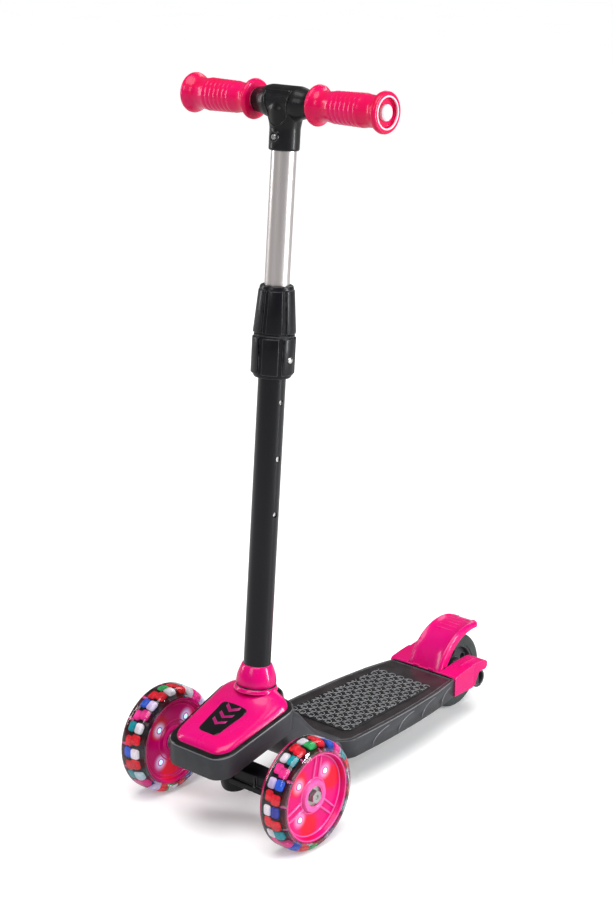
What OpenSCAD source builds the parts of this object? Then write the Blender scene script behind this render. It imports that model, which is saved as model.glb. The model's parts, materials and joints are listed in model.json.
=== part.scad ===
// Three-wheeled kick scooter for young children: lean-to-steer front truck,
// light-up front wheels, telescopic steering column and a foot brake over the rear wheel.
// +Z is up, the front faces -Y and +X is the rider's left.

/* [Overall] */
// height of the handlebar axis above the floor
handle_height = 775; // [745:5:800]
// distance between the front and the rear axle
wheel_base = 391; // [385:1:420]
// distance between the middles of the two front wheels
track = 206; // [200:2:220]
// backward lean of the steering column, in degrees
stem_tilt = 4.46; // [4:0.1:5]

/* [Wheels] */
// outside diameter of a front tyre
front_wheel_d = 120; // [118:1:124]
// width of a front tyre
front_tyre_w = 34; // [33:1:36]
// outside diameter of the rear tyre
rear_wheel_d = 92; // [88:1:93]
// width of the rear tyre
rear_tyre_w = 26; // [22:1:28]
// number of coloured lugs in each front light band
lug_count = 24; // [12:2:24]

/* [Deck] */
// height of the standing surface
deck_top = 62; // [61:0.5:63]
// width of the deck behind the front wheels
deck_front_w = 125; // [118:1:128]
// width of the deck where it meets the tail cover
deck_rear_w = 95; // [92:1:98]
// wall thickness of the deck moulding
deck_wall = 3; // [2.5:0.5:3.5]

/* [Front box] */
// height of the box rim above the front axle line
box_z = 116; // [114:1:118]
// height of the box wall
box_drop = 25; // [23:1:27]
// rise of the box top per millimetre towards the rear
box_slope = 0.27; // [0.25:0.01:0.29]

/* [Column] */
// outside diameter of the fixed lower tube
lower_tube_d = 30; // [29:0.5:30]
// outside diameter of the sliding upper tube
upper_tube_d = 27; // [25:0.5:27]
// distance between two height holes
hole_pitch = 61.8; // [50:0.2:62]
// half of the distance between the outer faces of the grips
grip_end = 135; // [120:1:145]

/* [Hidden] */
$fn = 64;

// colours
pink = [0.92, 0.0, 0.48];
rose = [0.94, 0.05, 0.35];
dark_grey = [0.27, 0.27, 0.29];
black = [0.04, 0.04, 0.05];
steel = [0.75, 0.75, 0.77];

// running clearances
run_gap = 0.05;
slip_gap = 0.3;

// main levels
front_r = front_wheel_d / 2;
rear_r = rear_wheel_d / 2;
box_front = -65.5;
// the middle of the length is the origin
front_y = -(wheel_base + rear_r + box_front) / 2;
box_tilt = atan(box_slope);
deck_low = deck_top - 21.5;
deck_end = wheel_base - 54;

// column distances along its axis, from the floor
stem_foot_y = 24.8;
handle_s = handle_height / cos(stem_tilt);
socket_s = 108;
ring_s = 139.5;
ring_r = 22.6;
bell_s = 143.5;
bell_top_s = 166;
collar_s = 485;
split_s = 533;
tube_top_s = 548;
nut_top_s = 584.5;
hole_s = 459;
tube_foot_s = 328;
lower_r = lower_tube_d / 2;
upper_r = upper_tube_d / 2;
lower_bore_r = upper_r + slip_gap;
upper_bore_r = upper_r - 1.3;
bar_r = 12;

// crown of the box cover
crown_r = 108;
crown_rise = 8.5;

// kingpin
king_y = -2;
king_len = (box_z - box_drop + box_slope * king_y - front_r) * cos(box_tilt);
king_top = king_len + box_drop * cos(box_tilt);
boss_r = 17;
boss_top = king_len - 6.4;

// front wheel
core_r = 49.3 * front_r / 60;
band_r = core_r + 6.5;
axle_r = 4;
bearing_r = 11;
beam_end = track / 2 - front_tyre_w / 2 - 3.5;
lug_step = 360 / lug_count;

// rear
arm_in = rear_tyre_w / 2 + 3.5;
arm_out = 44;
cover_half = 49.3;
slot_half = 25.5;
pin_y = wheel_base - 51.5;
pin_z = 54;
fender_y = wheel_base + 11;
fender_z = 38.5;
fender_out = 67;
fender_in = 64;

module at_axle() {
  translate([0, front_y, 0]) children();
}

module on_stem(s) {
  at_axle() translate([0, stem_foot_y, 0]) rotate([-stem_tilt, 0, 0])
    translate([0, 0, s]) children();
}

// the kingpin leans forward, square to the tilted base of the box
module on_king(t) {
  at_axle() translate([0, king_y, front_r]) rotate([box_tilt, 0, 0])
    translate([0, 0, t]) children();
}

// local z runs outwards along the axle; right wheels are mirrored
module on_wheel(side) {
  at_axle() mirror([side < 0 ? 1 : 0, 0, 0]) translate([track / 2, 0, front_r])
    rotate([0, 90, 0]) children();
}

module on_rear() {
  at_axle() translate([0, wheel_base, rear_r]) rotate([0, 90, 0]) children();
}

// a bar along x
module x_bar(x0, x1, r) {
  translate([x0, 0, 0]) rotate([0, 90, 0]) cylinder(h = x1 - x0, r = r);
}

module ring(h, r_in, r_out) {
  difference() {
    cylinder(h = h, r = r_out);
    translate([0, 0, -1]) cylinder(h = h + 2, r = r_in);
  }
}

// rounded four-sided outline, symmetric about x = 0
module rounded_quad(front_half, rear_half, y0, y1, r) {
  ax = front_half - r;
  bx = rear_half - r;
  ay = y0 + r;
  by = y1 - r;
  side = sqrt((bx - ax) * (bx - ax) + (by - ay) * (by - ay));
  nx = r * (by - ay) / side;
  ny = -r * (bx - ax) / side;
  polygon([[-ax, ay - r], [ax, ay - r], [ax + nx, ay + ny], [bx + nx, by + ny],
    [bx, by + r], [-bx, by + r], [-bx - nx, by + ny], [-ax - nx, ay + ny]]);
  for (s = [-1, 1]) {
    translate([s * ax, ay]) circle(r);
    translate([s * bx, by]) circle(r);
  }
}

// the layer of the box between two heights above its tilted rim
module box_layer(low, high) {
  translate([0, 0, box_z]) rotate([box_tilt, 0, 0])
    translate([-90, -120, low * cos(box_tilt)])
      cube([180, 260, (high - low) * cos(box_tilt)]);
}

module box_outline(inset) {
  rounded_quad(44 - inset, 53 - inset, box_front + inset, 45.5 - inset / 3, 17 - inset / 2);
  translate([0, 36]) circle(27 - inset / 3);
}

// ---------- frame ----------
module deck_outline(inset) {
  w = deck_front_w / 2 - inset;
  e = deck_rear_w / 2 - inset;
  rounded_quad(w, w, 112 + inset, 214, 24 - inset);
  polygon([[-w, 184], [w, 184], [w - 2.5, 240], [e + 8, wheel_base - 96],
    [e, deck_end - inset], [-e, deck_end - inset], [-e - 8, wheel_base - 96],
    [-w + 2.5, 240]]);
}

module arm_side() {
  polygon([[wheel_base - 72, deck_low + 0.5], [wheel_base - 72, deck_top - 1.5],
    [wheel_base - 11, deck_top - 1.5], [wheel_base, rear_r + 11.4],
    [wheel_base, rear_r - 11.4], [wheel_base - 11, rear_r - 9],
    [wheel_base - 19, deck_low + 0.5]]);
}

module neck_side() {
  base = box_z - box_drop;
  polygon([[18, base + 18 * box_slope], [66, base + 66 * box_slope], [77, 97], [90, 83],
    [104, 72.5], [118, 65], [130, deck_top - 1], [130, deck_low], [88, deck_low],
    [75, deck_low + 4], [60, 55], [47, 70], [41, base - 12 + 41 * box_slope],
    [18, base - 12 + 18 * box_slope]]);
}

module deck_shell() {
  color(dark_grey) at_axle() difference() {
    union() {
      difference() {
        translate([0, 0, deck_low]) linear_extrude(deck_top - deck_low) deck_outline(0);
        translate([0, 0, deck_low - 1]) linear_extrude(deck_top - deck_low - deck_wall + 1)
          difference() {
            deck_outline(deck_wall);
            // lengthwise and cross ribs
            translate([-1.5, 90]) square([3, 260]);
            for (y = [165, 205, 245, 285]) translate([-70, y]) square([140, 3]);
          }
      }
      // neck up to the front box
      intersection() {
        translate([-60, 0, 0]) rotate([90, 0, 90]) linear_extrude(120) neck_side();
        linear_extrude(150) polygon([[-30, 10], [30, 10], [34, 62], [42, 96], [54, 131],
          [-54, 131], [-42, 96], [-34, 62]]);
      }
      // fork arms beside the rear wheel
      for (s = [0, 1]) mirror([s, 0, 0]) {
        translate([arm_in, 0, 0]) rotate([90, 0, 90]) linear_extrude(arm_out - arm_in)
          arm_side();
        translate([0, wheel_base, rear_r]) x_bar(arm_in, arm_out + 1.5, 11.5);
      }
    }
    // bed of the mat
    translate([0, 0, deck_top - 0.8]) linear_extrude(5) mat_outline();
    // counterbores, axle bore and hinge pin bore
    translate([0, wheel_base, rear_r]) {
      x_bar(-60, 60, axle_r);
      x_bar(26, 60, 8.5);
      x_bar(-60, -26, 8.5);
    }
    translate([0, pin_y, pin_z]) {
      x_bar(-22, 22, 2.5);
      x_bar(-arm_in, arm_in, 5);
    }
    // room for the root of the fender behind the deck
    translate([-arm_in, pin_y - 5, pin_z - 2]) cube([2 * arm_in, 30, 6.2]);
    // screw holes in the tongue
    for (x = [-20, 20]) tongue_hole(x) translate([0, 0, -20]) cylinder(h = 30, r = 2);
  }
}

module tongue_hole(x) {
  translate([x, 29, box_z - box_drop + 29 * box_slope]) rotate([box_tilt, 0, 0]) children();
}

module mat_outline() {
  rounded_quad(42, 38.5, 147, wheel_base - 89, 10);
}

module deck_mat() {
  color(black) at_axle() translate([0, 0, deck_top - 0.8]) linear_extrude(1.6) mat_outline();
}

module box_housing() {
  color(dark_grey) at_axle() difference() {
    intersection() {
      linear_extrude(200) box_outline(0);
      box_layer(-box_drop, 0);
    }
    // shallow bed of the cover
    intersection() {
      linear_extrude(200) box_outline(7);
      box_layer(-1.5, 5);
    }
    // pockets open to the underside
    for (s = [0, 1]) mirror([s, 0, 0]) intersection() {
      box_layer(-60, -5);
      union() {
        translate([17, -52, 0]) cube([21, 32, 200]);
        translate([17, -16, 0]) cube([28, 24, 200]);
      }
    }
    for (x = [-20, 20]) tongue_hole(x) translate([0, 0, -5]) cylinder(h = 14, r = 2);
    // kingpin bore and the pocket of its nut
    translate([0, -front_y, 0]) on_king(0) {
      cylinder(h = 90, r = axle_r);
      translate([0, 0, king_top - 9]) cylinder(h = 30, r = 8.2, $fn = 6);
    }
    translate([0, -front_y, 0]) on_stem(socket_s) cylinder(h = 90, r = lower_r);
  }
}

// a crowned bar along the tilted box, made of flats
module crown(extra) {
  translate([0, 0, box_z]) rotate([box_tilt, 0, 0]) translate([0, 100, extra])
    rotate([90, 0, 0]) linear_extrude(200)
      polygon(concat([[-55, -30]], [for (x = [-55:5:55])
        [x, crown_rise - x * x / (2 * crown_r)]], [[55, -30]]));
}

module cover_plate() {
  color(pink) at_axle() difference() {
    union() {
      intersection() {
        linear_extrude(200) box_outline(7.3);
        box_layer(-1.5, 20);
        crown(0);
      }
      // flare up to the ring under the bell
      intersection() {
        linear_extrude(200) box_outline(7.3);
        translate([0, -front_y, 0]) on_stem(ring_s - 26) cylinder(h = 26, r1 = 40, r2 = 23);
        box_layer(-1.5, 60);
      }
    }
    translate([0, -front_y, 0]) {
      on_stem(socket_s - 10) cylinder(h = 90, r = lower_r + 0.2);
      on_stem(ring_s) cylinder(h = 60, r = ring_r + 0.2);
    }
    badge_cut();
  }
}

module badge_outline() {
  rounded_quad(15.5, 20.5, -43, 4, 5);
}

module badge_cut() {
  difference() {
    translate([0, 0, 80]) linear_extrude(90) badge_outline();
    crown(-0.8);
  }
}

module badge() {
  color(black) at_axle() intersection() {
    badge_cut();
    crown(0.4);
  }
}

module collar_ring() {
  color(black) on_stem(ring_s) ring(bell_s - ring_s, lower_r + 0.2, ring_r);
}

module bell_collar() {
  color(pink) on_stem(bell_s) rotate_extrude() polygon([[lower_r + 0.2, 0], [22, 0],
    [22.2, 3], [21.8, 7], [20.6, 12], [18.9, 17], [17.2, 21], [16.6, bell_top_s - bell_s],
    [lower_r + 0.2, bell_top_s - bell_s]]);
}

module box_screws() {
  color(steel) at_axle() for (x = [-20, 20]) tongue_hole(x) {
    translate([0, 0, -11.59]) cylinder(h = 19.5, r = 2);
    translate([0, 0, -14.1]) cylinder(h = 2.51, r = 4);
  }
}

module lower_tube() {
  color(black) on_stem(0) difference() {
    translate([0, 0, socket_s]) cylinder(h = tube_top_s - socket_s, r = lower_r);
    translate([0, 0, socket_s - 1]) cylinder(h = tube_top_s, r = lower_bore_r);
    for (i = [0, 1, 2]) translate([0, 0, hole_s - i * hole_pitch]) x_bar(5, 20, 3.2);
  }
}

// wide raised panels around a collar or nut
module panels(h, r0, r1) {
  for (i = [0:5]) rotate([0, 0, 60 * i + 12]) intersection() {
    difference() {
      cylinder(h = h, r1 = r0, r2 = r1);
      translate([0, 0, -1]) cylinder(h = h + 2, r = lower_r + 3);
    }
    translate([0, -8.6, 0]) cube([40, 17.2, h]);
  }
}

module clamp_collar() {
  color(black) on_stem(collar_s) difference() {
    union() {
      rotate_extrude() polygon([[lower_r, 0], [19.2, 0], [21.3, 2.5], [22.2, 6],
        [22.2, 45], [21.6, 47.6], [17.5, 47.6], [17.5, tube_top_s - collar_s],
        [lower_r, tube_top_s - collar_s]]);
      translate([0, 0, 8]) panels(36, 23.5, 23.5);
    }
    translate([0, 0, -1]) cylinder(h = 80, r = lower_r);
    translate([0, 0, 21]) rotate([0, 0, 12]) x_bar(5, 30, 2.8);
  }
}

module clamp_rivet() {
  color(steel) on_stem(collar_s + 21) rotate([0, 0, 12]) {
    x_bar(lower_r + 0.1, 23.6, 2.8);
    translate([23.6, 0, 0]) rotate([0, 90, 0]) cylinder(h = 0.9, r1 = 3.4, r2 = 2);
  }
}

module clamp_wedge() {
  color(dark_grey) on_stem(tube_top_s) rotate_extrude() polygon([[lower_bore_r, 0], [17.3, 0],
    [17.3, 5], [15.8, 18], [lower_bore_r, 18]]);
}

module twist_nut() {
  h = nut_top_s - split_s;
  color(black) on_stem(split_s) difference() {
    union() {
      cylinder(h = h - 3, r1 = 22, r2 = 18.4);
      translate([0, 0, h - 3]) cylinder(h = 3, r1 = 18.4, r2 = 17);
      panels(h - 4.5, 23.5, 19.5);
    }
    translate([0, 0, -1]) cylinder(h = 40, r = 17.8);
    translate([0, 0, 35]) cylinder(h = 30, r = upper_r + 0.4);
  }
}

module kingpin_bolt() {
  color(steel) on_king(0) {
    translate([0, 0, -17.4]) cylinder(h = king_top + 15.4, r = axle_r);
    translate([0, 0, -22.4]) cylinder(h = 5, r = 7.4, $fn = 6);
  }
}

module kingpin_nut() {
  color(steel) on_king(king_top - 9) difference() {
    cylinder(h = 6.5, r = 7.4, $fn = 6);
    translate([0, 0, -1]) cylinder(h = 9, r = axle_r);
  }
}

module steer_cushion() {
  color(black) on_king(boss_top + slip_gap)
    ring(king_len - boss_top - slip_gap, axle_r, 14);
}

module tail_cover() {
  color(pink) at_axle() difference() {
    translate([-cover_half, 0, 0]) rotate([90, 0, 90]) linear_extrude(2 * cover_half)
      polygon([[deck_end + 0.3, 40.5], [deck_end + 0.3, 62.3], [deck_end + 2.5, 64.4],
        [wheel_base - 40, 66.5], [wheel_base - 19, 69], [wheel_base + 3, 69.5],
        [wheel_base + 9, 68], [wheel_base + 11.5, 65], [wheel_base + 11.5, 60],
        [wheel_base + 8, 57], [wheel_base - 4, 57], [wheel_base - 8, 50],
        [wheel_base - 12, 41.5], [wheel_base - 14, 40.5]]);
    // room for the fork arms
    translate([-arm_out - 1.8, deck_end - 5, 0]) cube([2 * arm_out + 3.6, 55, deck_top - 1.2]);
    translate([-arm_out - 1.8, wheel_base - 12, 0])
      cube([2 * arm_out + 3.6, 21, deck_top - 1.2]);
    // slot of the fender and the wheel
    translate([-slot_half, pin_y - 0.2, 0]) cube([2 * slot_half, 90, 100]);
    // tapered outer sides
    for (s = [0, 1]) mirror([s, 0, 0]) translate([0, 0, 30]) linear_extrude(60)
      polygon([[cover_half, wheel_base - 10], [cover_half - 3, wheel_base + 12],
        [cover_half + 5, wheel_base + 12]]);
  }
}

module rear_axle_bolt() {
  color(steel) at_axle() translate([0, wheel_base, rear_r]) {
    x_bar(-26, 35, axle_r);
    translate([-31, 0, 0]) rotate([0, 90, 0]) cylinder(h = 5, r = 7.2, $fn = 6);
  }
}

module rear_axle_nut() {
  color(steel) at_axle() translate([26, wheel_base, rear_r]) rotate([0, 90, 0]) difference() {
    cylinder(h = 6.5, r = 7.2, $fn = 6);
    translate([0, 0, -1]) cylinder(h = 9, r = axle_r);
  }
}

module rear_spacers() {
  color(steel) on_rear() for (s = [0, 1]) mirror([0, 0, s])
    translate([0, 0, 11 + slip_gap]) ring(arm_in - 11 - slip_gap, axle_r, 6.5);
}

module fender_pin() {
  color(steel) at_axle() translate([0, pin_y, pin_z]) x_bar(-22, 22, 2.5);
}

module fender_spring() {
  color(steel) at_axle() translate([0, pin_y, pin_z]) rotate([0, 90, 0])
    for (i = [0:7]) translate([0, 0, (i - 3.5) * 1.45])
      rotate_extrude($fn = 32) translate([3.6, 0]) circle(r = 0.75, $fn = 16);
}

// ---------- steering truck ----------
module truck_beam() {
  color(black) difference() {
    union() {
      at_axle() {
        // the long beam and its sockets
        translate([0, 0, front_r - 15]) linear_extrude(20) polygon([[-beam_end, -9],
          [-30, -13], [30, -13], [beam_end, -9], [beam_end, 9], [30, 13], [-30, 13],
          [-beam_end, 9]]);
        translate([0, 0, front_r]) {
          x_bar(beam_end - 16, beam_end, 11);
          x_bar(-beam_end, 16 - beam_end, 11);
        }
        // ledge along the front of the beam
        translate([-beam_end + 12, -15, front_r - 15]) cube([2 * beam_end - 24, 6, 7]);
      }
      on_king(-25) cylinder(h = boss_top + 25, r = boss_r);
    }
    on_king(-26) cylinder(h = 8.7, r = 8);
    on_king(-40) cylinder(h = 90, r = axle_r + run_gap);
    at_axle() translate([0, 0, front_r]) {
      x_bar(beam_end - 22, beam_end + 5, axle_r);
      x_bar(-beam_end - 5, 22 - beam_end, axle_r);
    }
  }
}

module axle_bolts() {
  color(steel) for (s = [-1, 1]) on_wheel(s) {
    translate([0, 0, beam_end - track / 2 - 20]) cylinder(h = track / 2 - beam_end + 31,
      r = axle_r);
    translate([0, 0, 10.8]) difference() {
      cylinder(h = 4.6, r = 7.2, $fn = 6);
      translate([0, 0, 3]) cylinder(h = 2, r = 3, $fn = 6);
    }
  }
}

module axle_spacers() {
  color(steel) for (s = [-1, 1]) on_wheel(s)
    translate([0, 0, beam_end - track / 2])
      ring(track / 2 - beam_end - 12 - slip_gap, axle_r, 6.5);
}

// ---------- front wheels ----------
led_angles = [48, 141, 224];
led_r = 29;

module wheel_core(side) {
  w = front_tyre_w / 2 - 1.5;
  color(pink) on_wheel(side) difference() {
    union() {
      rotate_extrude() polygon([[8, -5], [bearing_r, -5], [bearing_r, -13], [15, -13],
        [16.5, -11], [core_r - 5.3, -11], [core_r - 3.8, -w], [core_r, -w], [core_r, w],
        [core_r - 3, w], [core_r - 4.8, 9.5], [18, 9.5], [17, 13.5], [13, 13.5],
        [12.2, 12.5], [bearing_r, 12.5], [bearing_r, 3.5], [8, 3.5]]);
      // three pairs of spokes
      for (a = [78, 198, 318]) rotate([0, 0, 90 + a]) for (y = [-4.2, 4.2])
        translate([15.5, y - 0.9, 9]) cube([core_r - 19, 1.8, 3.6]);
    }
    for (a = led_angles) led_place(a) translate([0, 0, -20]) cylinder(h = 40, r = 3);
  }
}

// angle a runs from the rear of the wheel over its top
module led_place(a) {
  translate([-led_r * sin(a), led_r * cos(a), 0]) children();
}

module wheel_leds(side) {
  color([0.8, 0.92, 1]) on_wheel(side) for (a = led_angles) led_place(a) {
    translate([0, 0, -11]) cylinder(h = 20.5, r = 2.9);
    translate([0, 0, 9.5]) cylinder(h = 1.2, r1 = 2.9, r2 = 1.6);
    translate([0, 0, -12.2]) cylinder(h = 1.2, r1 = 1.6, r2 = 2.9);
  }
}

module wheel_tyre(side) {
  w = front_tyre_w / 2;
  color([0.95, 0.9, 0.95, 0.5]) on_wheel(side) rotate_extrude() difference() {
    union() {
      translate([core_r, 10 - w]) square([front_r - core_r, 2 * w - 20]);
      for (s = [-1, 1]) translate([front_r - 10, s * (w - 10)]) circle(10);
      translate([core_r, 1.5 - w]) square([3, 2 * w - 3]);
    }
    translate([core_r - 20, -30]) square([20, 60]);
    translate([core_r - 1, -12]) square([band_r - core_r + 1, 24]);
  }
}

module wheel_band(side) {
  color([0.2, 0.35, 0.9]) on_wheel(side) {
    translate([0, 0, -11.7]) ring(23.4, core_r + 0.2, core_r + 2);
    for (i = [0:lug_count - 1]) rotate([0, 0, i * lug_step])
      translate([core_r + 1, 0, (i % 2) * 9 - 4.5]) rotate([0, 90, 0])
        cylinder(h = 5.1, r = 4.6, $fn = 24);
  }
}

module bearing() {
  rotate_extrude() polygon([[axle_r + run_gap, 0], [6, 0], [6, 0.4], [9.3, 0.4], [9.3, 0],
    [bearing_r, 0], [bearing_r, 7], [9.3, 7], [9.3, 6.6], [6, 6.6], [6, 7],
    [axle_r + run_gap, 7]]);
}

module wheel_bearings(side) {
  color(steel) on_wheel(side) {
    translate([0, 0, 3.5]) bearing();
    translate([0, 0, -12]) bearing();
  }
}

module left_core() { wheel_core(1); }
module left_tyre() { wheel_tyre(1); }
module left_light_band() { wheel_band(1); }
module left_leds() { wheel_leds(1); }
module left_bearings() { wheel_bearings(1); }
module right_core() { wheel_core(-1); }
module right_tyre() { wheel_tyre(-1); }
module right_light_band() { wheel_band(-1); }
module right_leds() { wheel_leds(-1); }
module right_bearings() { wheel_bearings(-1); }

// ---------- rear wheel ----------
rear_core_r = rear_r - 13;

module rear_core() {
  w = rear_tyre_w / 2 - 2;
  color(dark_grey) on_rear() difference() {
    rotate_extrude() polygon([[8, -4], [bearing_r, -4], [bearing_r, -11], [15, -11],
      [16, -5], [rear_core_r - 4, -5], [rear_core_r - 3, -w], [rear_core_r, -w],
      [rear_core_r, w], [rear_core_r - 3, w], [rear_core_r - 4, 5], [16, 5], [15, 11],
      [bearing_r, 11], [bearing_r, 4], [8, 4]]);
    for (a = [0:60:300]) rotate([0, 0, a]) translate([22.5, 0, -20]) cylinder(h = 40, r = 4.5);
  }
}

module rear_tyre() {
  w = rear_tyre_w / 2;
  color([0.2, 0.2, 0.21]) on_rear() rotate_extrude() difference() {
    union() {
      translate([rear_core_r, 7 - w]) square([rear_r - rear_core_r, 2 * w - 14]);
      for (s = [-1, 1]) translate([rear_r - 7, s * (w - 7)]) circle(7);
      translate([rear_core_r, 1 - w]) square([7, 2 * w - 2]);
    }
    translate([rear_core_r - 20, -30]) square([20, 60]);
  }
}

module rear_bearings() {
  color(steel) on_rear() {
    translate([0, 0, 4]) bearing();
    translate([0, 0, -11]) bearing();
  }
}

// ---------- sliding column and handlebar ----------
module upper_tube() {
  color(steel) on_stem(0) difference() {
    translate([0, 0, tube_foot_s + 6]) cylinder(h = handle_s - tube_foot_s - 20, r = upper_r);
    translate([0, 0, tube_foot_s]) cylinder(h = handle_s, r = upper_bore_r);
    translate([0, 0, hole_s]) x_bar(5, 20, 3.2);
    translate([0, 0, handle_s - 36]) rotate([0, 0, -90]) x_bar(5, 20, 2);
  }
}

module tube_guide() {
  color(black) on_stem(tube_foot_s) {
    cylinder(h = 6, r = upper_r);
    translate([0, 0, 6]) cylinder(h = 12, r = upper_bore_r);
  }
}

// V-shaped leaf spring inside the upper tube, behind the snap button
module button_spring() {
  color(steel) on_stem(hole_s) rotate([90, 0, 0]) translate([0, 0, -2.7]) linear_extrude(5.4)
    polygon([[-11.7, 11], [-11.7, -29], [-9.4, -32.4], [-7.6, -31], [4.6, -6], [4.6, 8],
      [3.8, 8], [3.8, -5.4], [-8.4, -30], [-9.2, -30.6], [-10.9, -28], [-10.9, 11]]);
}

module t_outline(grow) {
  // barrel along x with narrower ends
  x_bar(-20, 20, 18 + grow);
  for (s = [0, 1]) mirror([s, 0, 0]) translate([20, 0, 0]) rotate([0, 90, 0]) {
    cylinder(h = 12, r1 = 18 + grow, r2 = 14.6 + grow);
    translate([0, 0, 12]) cylinder(h = 8, r1 = 14.6, r2 = 13.4);
  }
  translate([0, 0, -50.5]) cylinder(h = 50.5, r = 16.6 + grow);
  translate([0, 0, -26]) cylinder(h = 20, r1 = 16.6 + grow, r2 = 20 + grow);
}

module t_joint() {
  color(black) on_stem(handle_s) difference() {
    union() {
      t_outline(0);
      // raised tongue on the front
      intersection() {
        t_outline(0.7);
        rotate([90, 0, 0]) linear_extrude(40) {
          polygon([[-14, 12], [14, 12], [11.5, -8], [8.5, -15], [-8.5, -15], [-11.5, -8]]);
          translate([0, -14]) circle(8.6);
        }
      }
      translate([0, 0, -36]) rotate([90, 0, 0]) cylinder(h = 17.6, r = 5.6);
    }
    x_bar(-60, 60, bar_r);
    translate([0, 0, -60]) cylinder(h = 46, r = upper_r);
    translate([0, 0, -36]) rotate([90, 0, 0]) cylinder(h = 40, r = 2);
    translate([0, -16.8, -36]) rotate([90, 0, 0]) cylinder(h = 10, r = 3.6);
  }
}

module t_screw() {
  color(steel) on_stem(handle_s - 36) rotate([90, 0, 0]) {
    translate([0, 0, 10.5]) cylinder(h = 6.3, r = 2);
    translate([0, 0, 16.8]) difference() {
      cylinder(h = 1.8, r1 = 3.6, r2 = 2.6);
      translate([0, 0, 0.8]) cylinder(h = 2, r = 1.3, $fn = 6);
    }
  }
}

module bar_tube() {
  color(steel) on_stem(handle_s) difference() {
    x_bar(7 - grip_end, grip_end - 7, bar_r);
    x_bar(-grip_end, grip_end, bar_r - 1.2);
  }
}

module grip() {
  e = grip_end;
  difference() {
    union() {
      rotate([0, 90, 0]) rotate_extrude() polygon([[bar_r, 41], [19, 41], [21.4, 42.6],
        [22, 44.8], [21, 46.8], [17.6, 49.5], [15.8, 54], [15.6, 58], [16.6, e - 60],
        [17.4, e - 30], [17, e - 20], [16.6, e - 15], [17.6, e - 11], [21.3, e - 7.2],
        [22.2, e - 4], [21.8, e - 1.4], [20.4, e - 0.2], [bar_r - 3.5, e - 0.2],
        [bar_r - 3.5, e - 7], [bar_r, e - 7]]);
      // finger ribs
      for (i = [0:7]) translate([e - 73 + 6.2 * i, 0, 0]) rotate([0, 90, 0])
        rotate_extrude() translate([15.8 + 0.15 * i, 0]) circle(r = 1.9, $fn = 24);
    }
    x_bar(40, 48, 17);
    // hollow end face
    rotate([0, 90, 0]) rotate_extrude() polygon([[bar_r - 4, e - 4.5], [15.5, e - 4.5],
      [16.8, e - 1.5], [20.2, e - 1.5], [20.2, e + 1], [bar_r - 4, e + 1]]);
  }
}

module left_grip() {
  color(rose) on_stem(handle_s) grip();
}

module right_grip() {
  color(rose) on_stem(handle_s) mirror([1, 0, 0]) grip();
}

module end_rings() {
  color([1, 0.85, 0.92]) on_stem(handle_s) for (s = [0, 1]) mirror([s, 0, 0])
    translate([grip_end - 1.5, 0, 0]) rotate([0, 90, 0]) ring(1.9, 16.8, 20.2);
}

module end_plugs() {
  color([0.95, 0.95, 0.96]) on_stem(handle_s) for (s = [0, 1]) mirror([s, 0, 0]) {
    x_bar(grip_end - 18, grip_end - 7, bar_r - 1.2);
    x_bar(grip_end - 7, grip_end - 1, bar_r - 3.5);
    translate([grip_end - 1, 0, 0]) rotate([0, 90, 0]) cylinder(h = 1.2, r1 = 8.2, r2 = 6.6);
  }
}

module snap_button() {
  color(steel) on_stem(hole_s) {
    x_bar(8.5, 12.6, 2.9);
    translate([12.6, 0, 0]) rotate([0, 90, 0]) cylinder(h = 0.7, r1 = 2.9, r2 = 1.8);
  }
}

// ---------- foot brake ----------
module fender_arc(r_out, r_in, half) {
  translate([-half, fender_y, fender_z]) rotate([90, 0, 90]) difference() {
    cylinder(h = 2 * half, r = r_out, $fn = 120);
    translate([0, 0, -1]) cylinder(h = 2 * half + 2, r = r_in, $fn = 120);
  }
}

module brake_fender() {
  color(pink) at_axle() difference() {
    union() {
      // shell above the cover
      intersection() {
        fender_arc(fender_out, fender_in, 24);
        translate([-40, fender_y - 90, deck_top + 0.6]) cube([80, 112, 90]);
      }
      // side skirts
      intersection() {
        difference() {
          fender_arc(fender_in + 0.5, 20, 24);
          translate([-21, 0, 0]) cube([42, 900, 200]);
          translate([-50, wheel_base + 24, 45]) rotate([0, 90, 0]) cylinder(h = 100, r = 54);
        }
        translate([-40, fender_y - 90, 67.5]) cube([80, 112, 90]);
      }
      // raised edge ribs
      intersection() {
        difference() {
          fender_arc(fender_out + 1, fender_in + 1, 22.5);
          fender_arc(fender_out + 3, fender_out - 1, 20.5);
        }
        translate([-40, fender_y - 90, 72]) cube([80, 108, 90]);
      }
      // tongue down to the hinge barrel
      intersection() {
        fender_arc(fender_out, fender_in, arm_in - 1);
        translate([-40, fender_y - 90, pin_z]) cube([80, 60, deck_top + 2 - pin_z]);
      }
      translate([0, pin_y, pin_z]) x_bar(1 - arm_in, arm_in - 1, 4.2);
    }
    translate([0, pin_y, pin_z]) {
      x_bar(-30, 30, 2.5 + run_gap);
      x_bar(-6.8, 6.8, 5.2);
    }
    translate([-6.8, pin_y - 6, pin_z - 6]) cube([13.6, 12, 11.5]);
    // clear of the front strip of the tail cover
    translate([-40, pin_y - 20, deck_top - 2]) cube([80, 20.1, 6]);
  }
}

deck_shell();
deck_mat();
box_housing();
cover_plate();
badge();
collar_ring();
bell_collar();
box_screws();
lower_tube();
clamp_collar();
clamp_rivet();
clamp_wedge();
kingpin_bolt();
kingpin_nut();
steer_cushion();
tail_cover();
rear_axle_bolt();
rear_axle_nut();
rear_spacers();
fender_pin();
fender_spring();
truck_beam();
axle_bolts();
axle_spacers();
left_core();
left_tyre();
left_light_band();
left_leds();
left_bearings();
right_core();
right_tyre();
right_light_band();
right_leds();
right_bearings();
rear_core();
rear_tyre();
rear_bearings();
twist_nut();
upper_tube();
tube_guide();
button_spring();
t_joint();
t_screw();
bar_tube();
left_grip();
right_grip();
end_rings();
end_plugs();
snap_button();
brake_fender();
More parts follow.
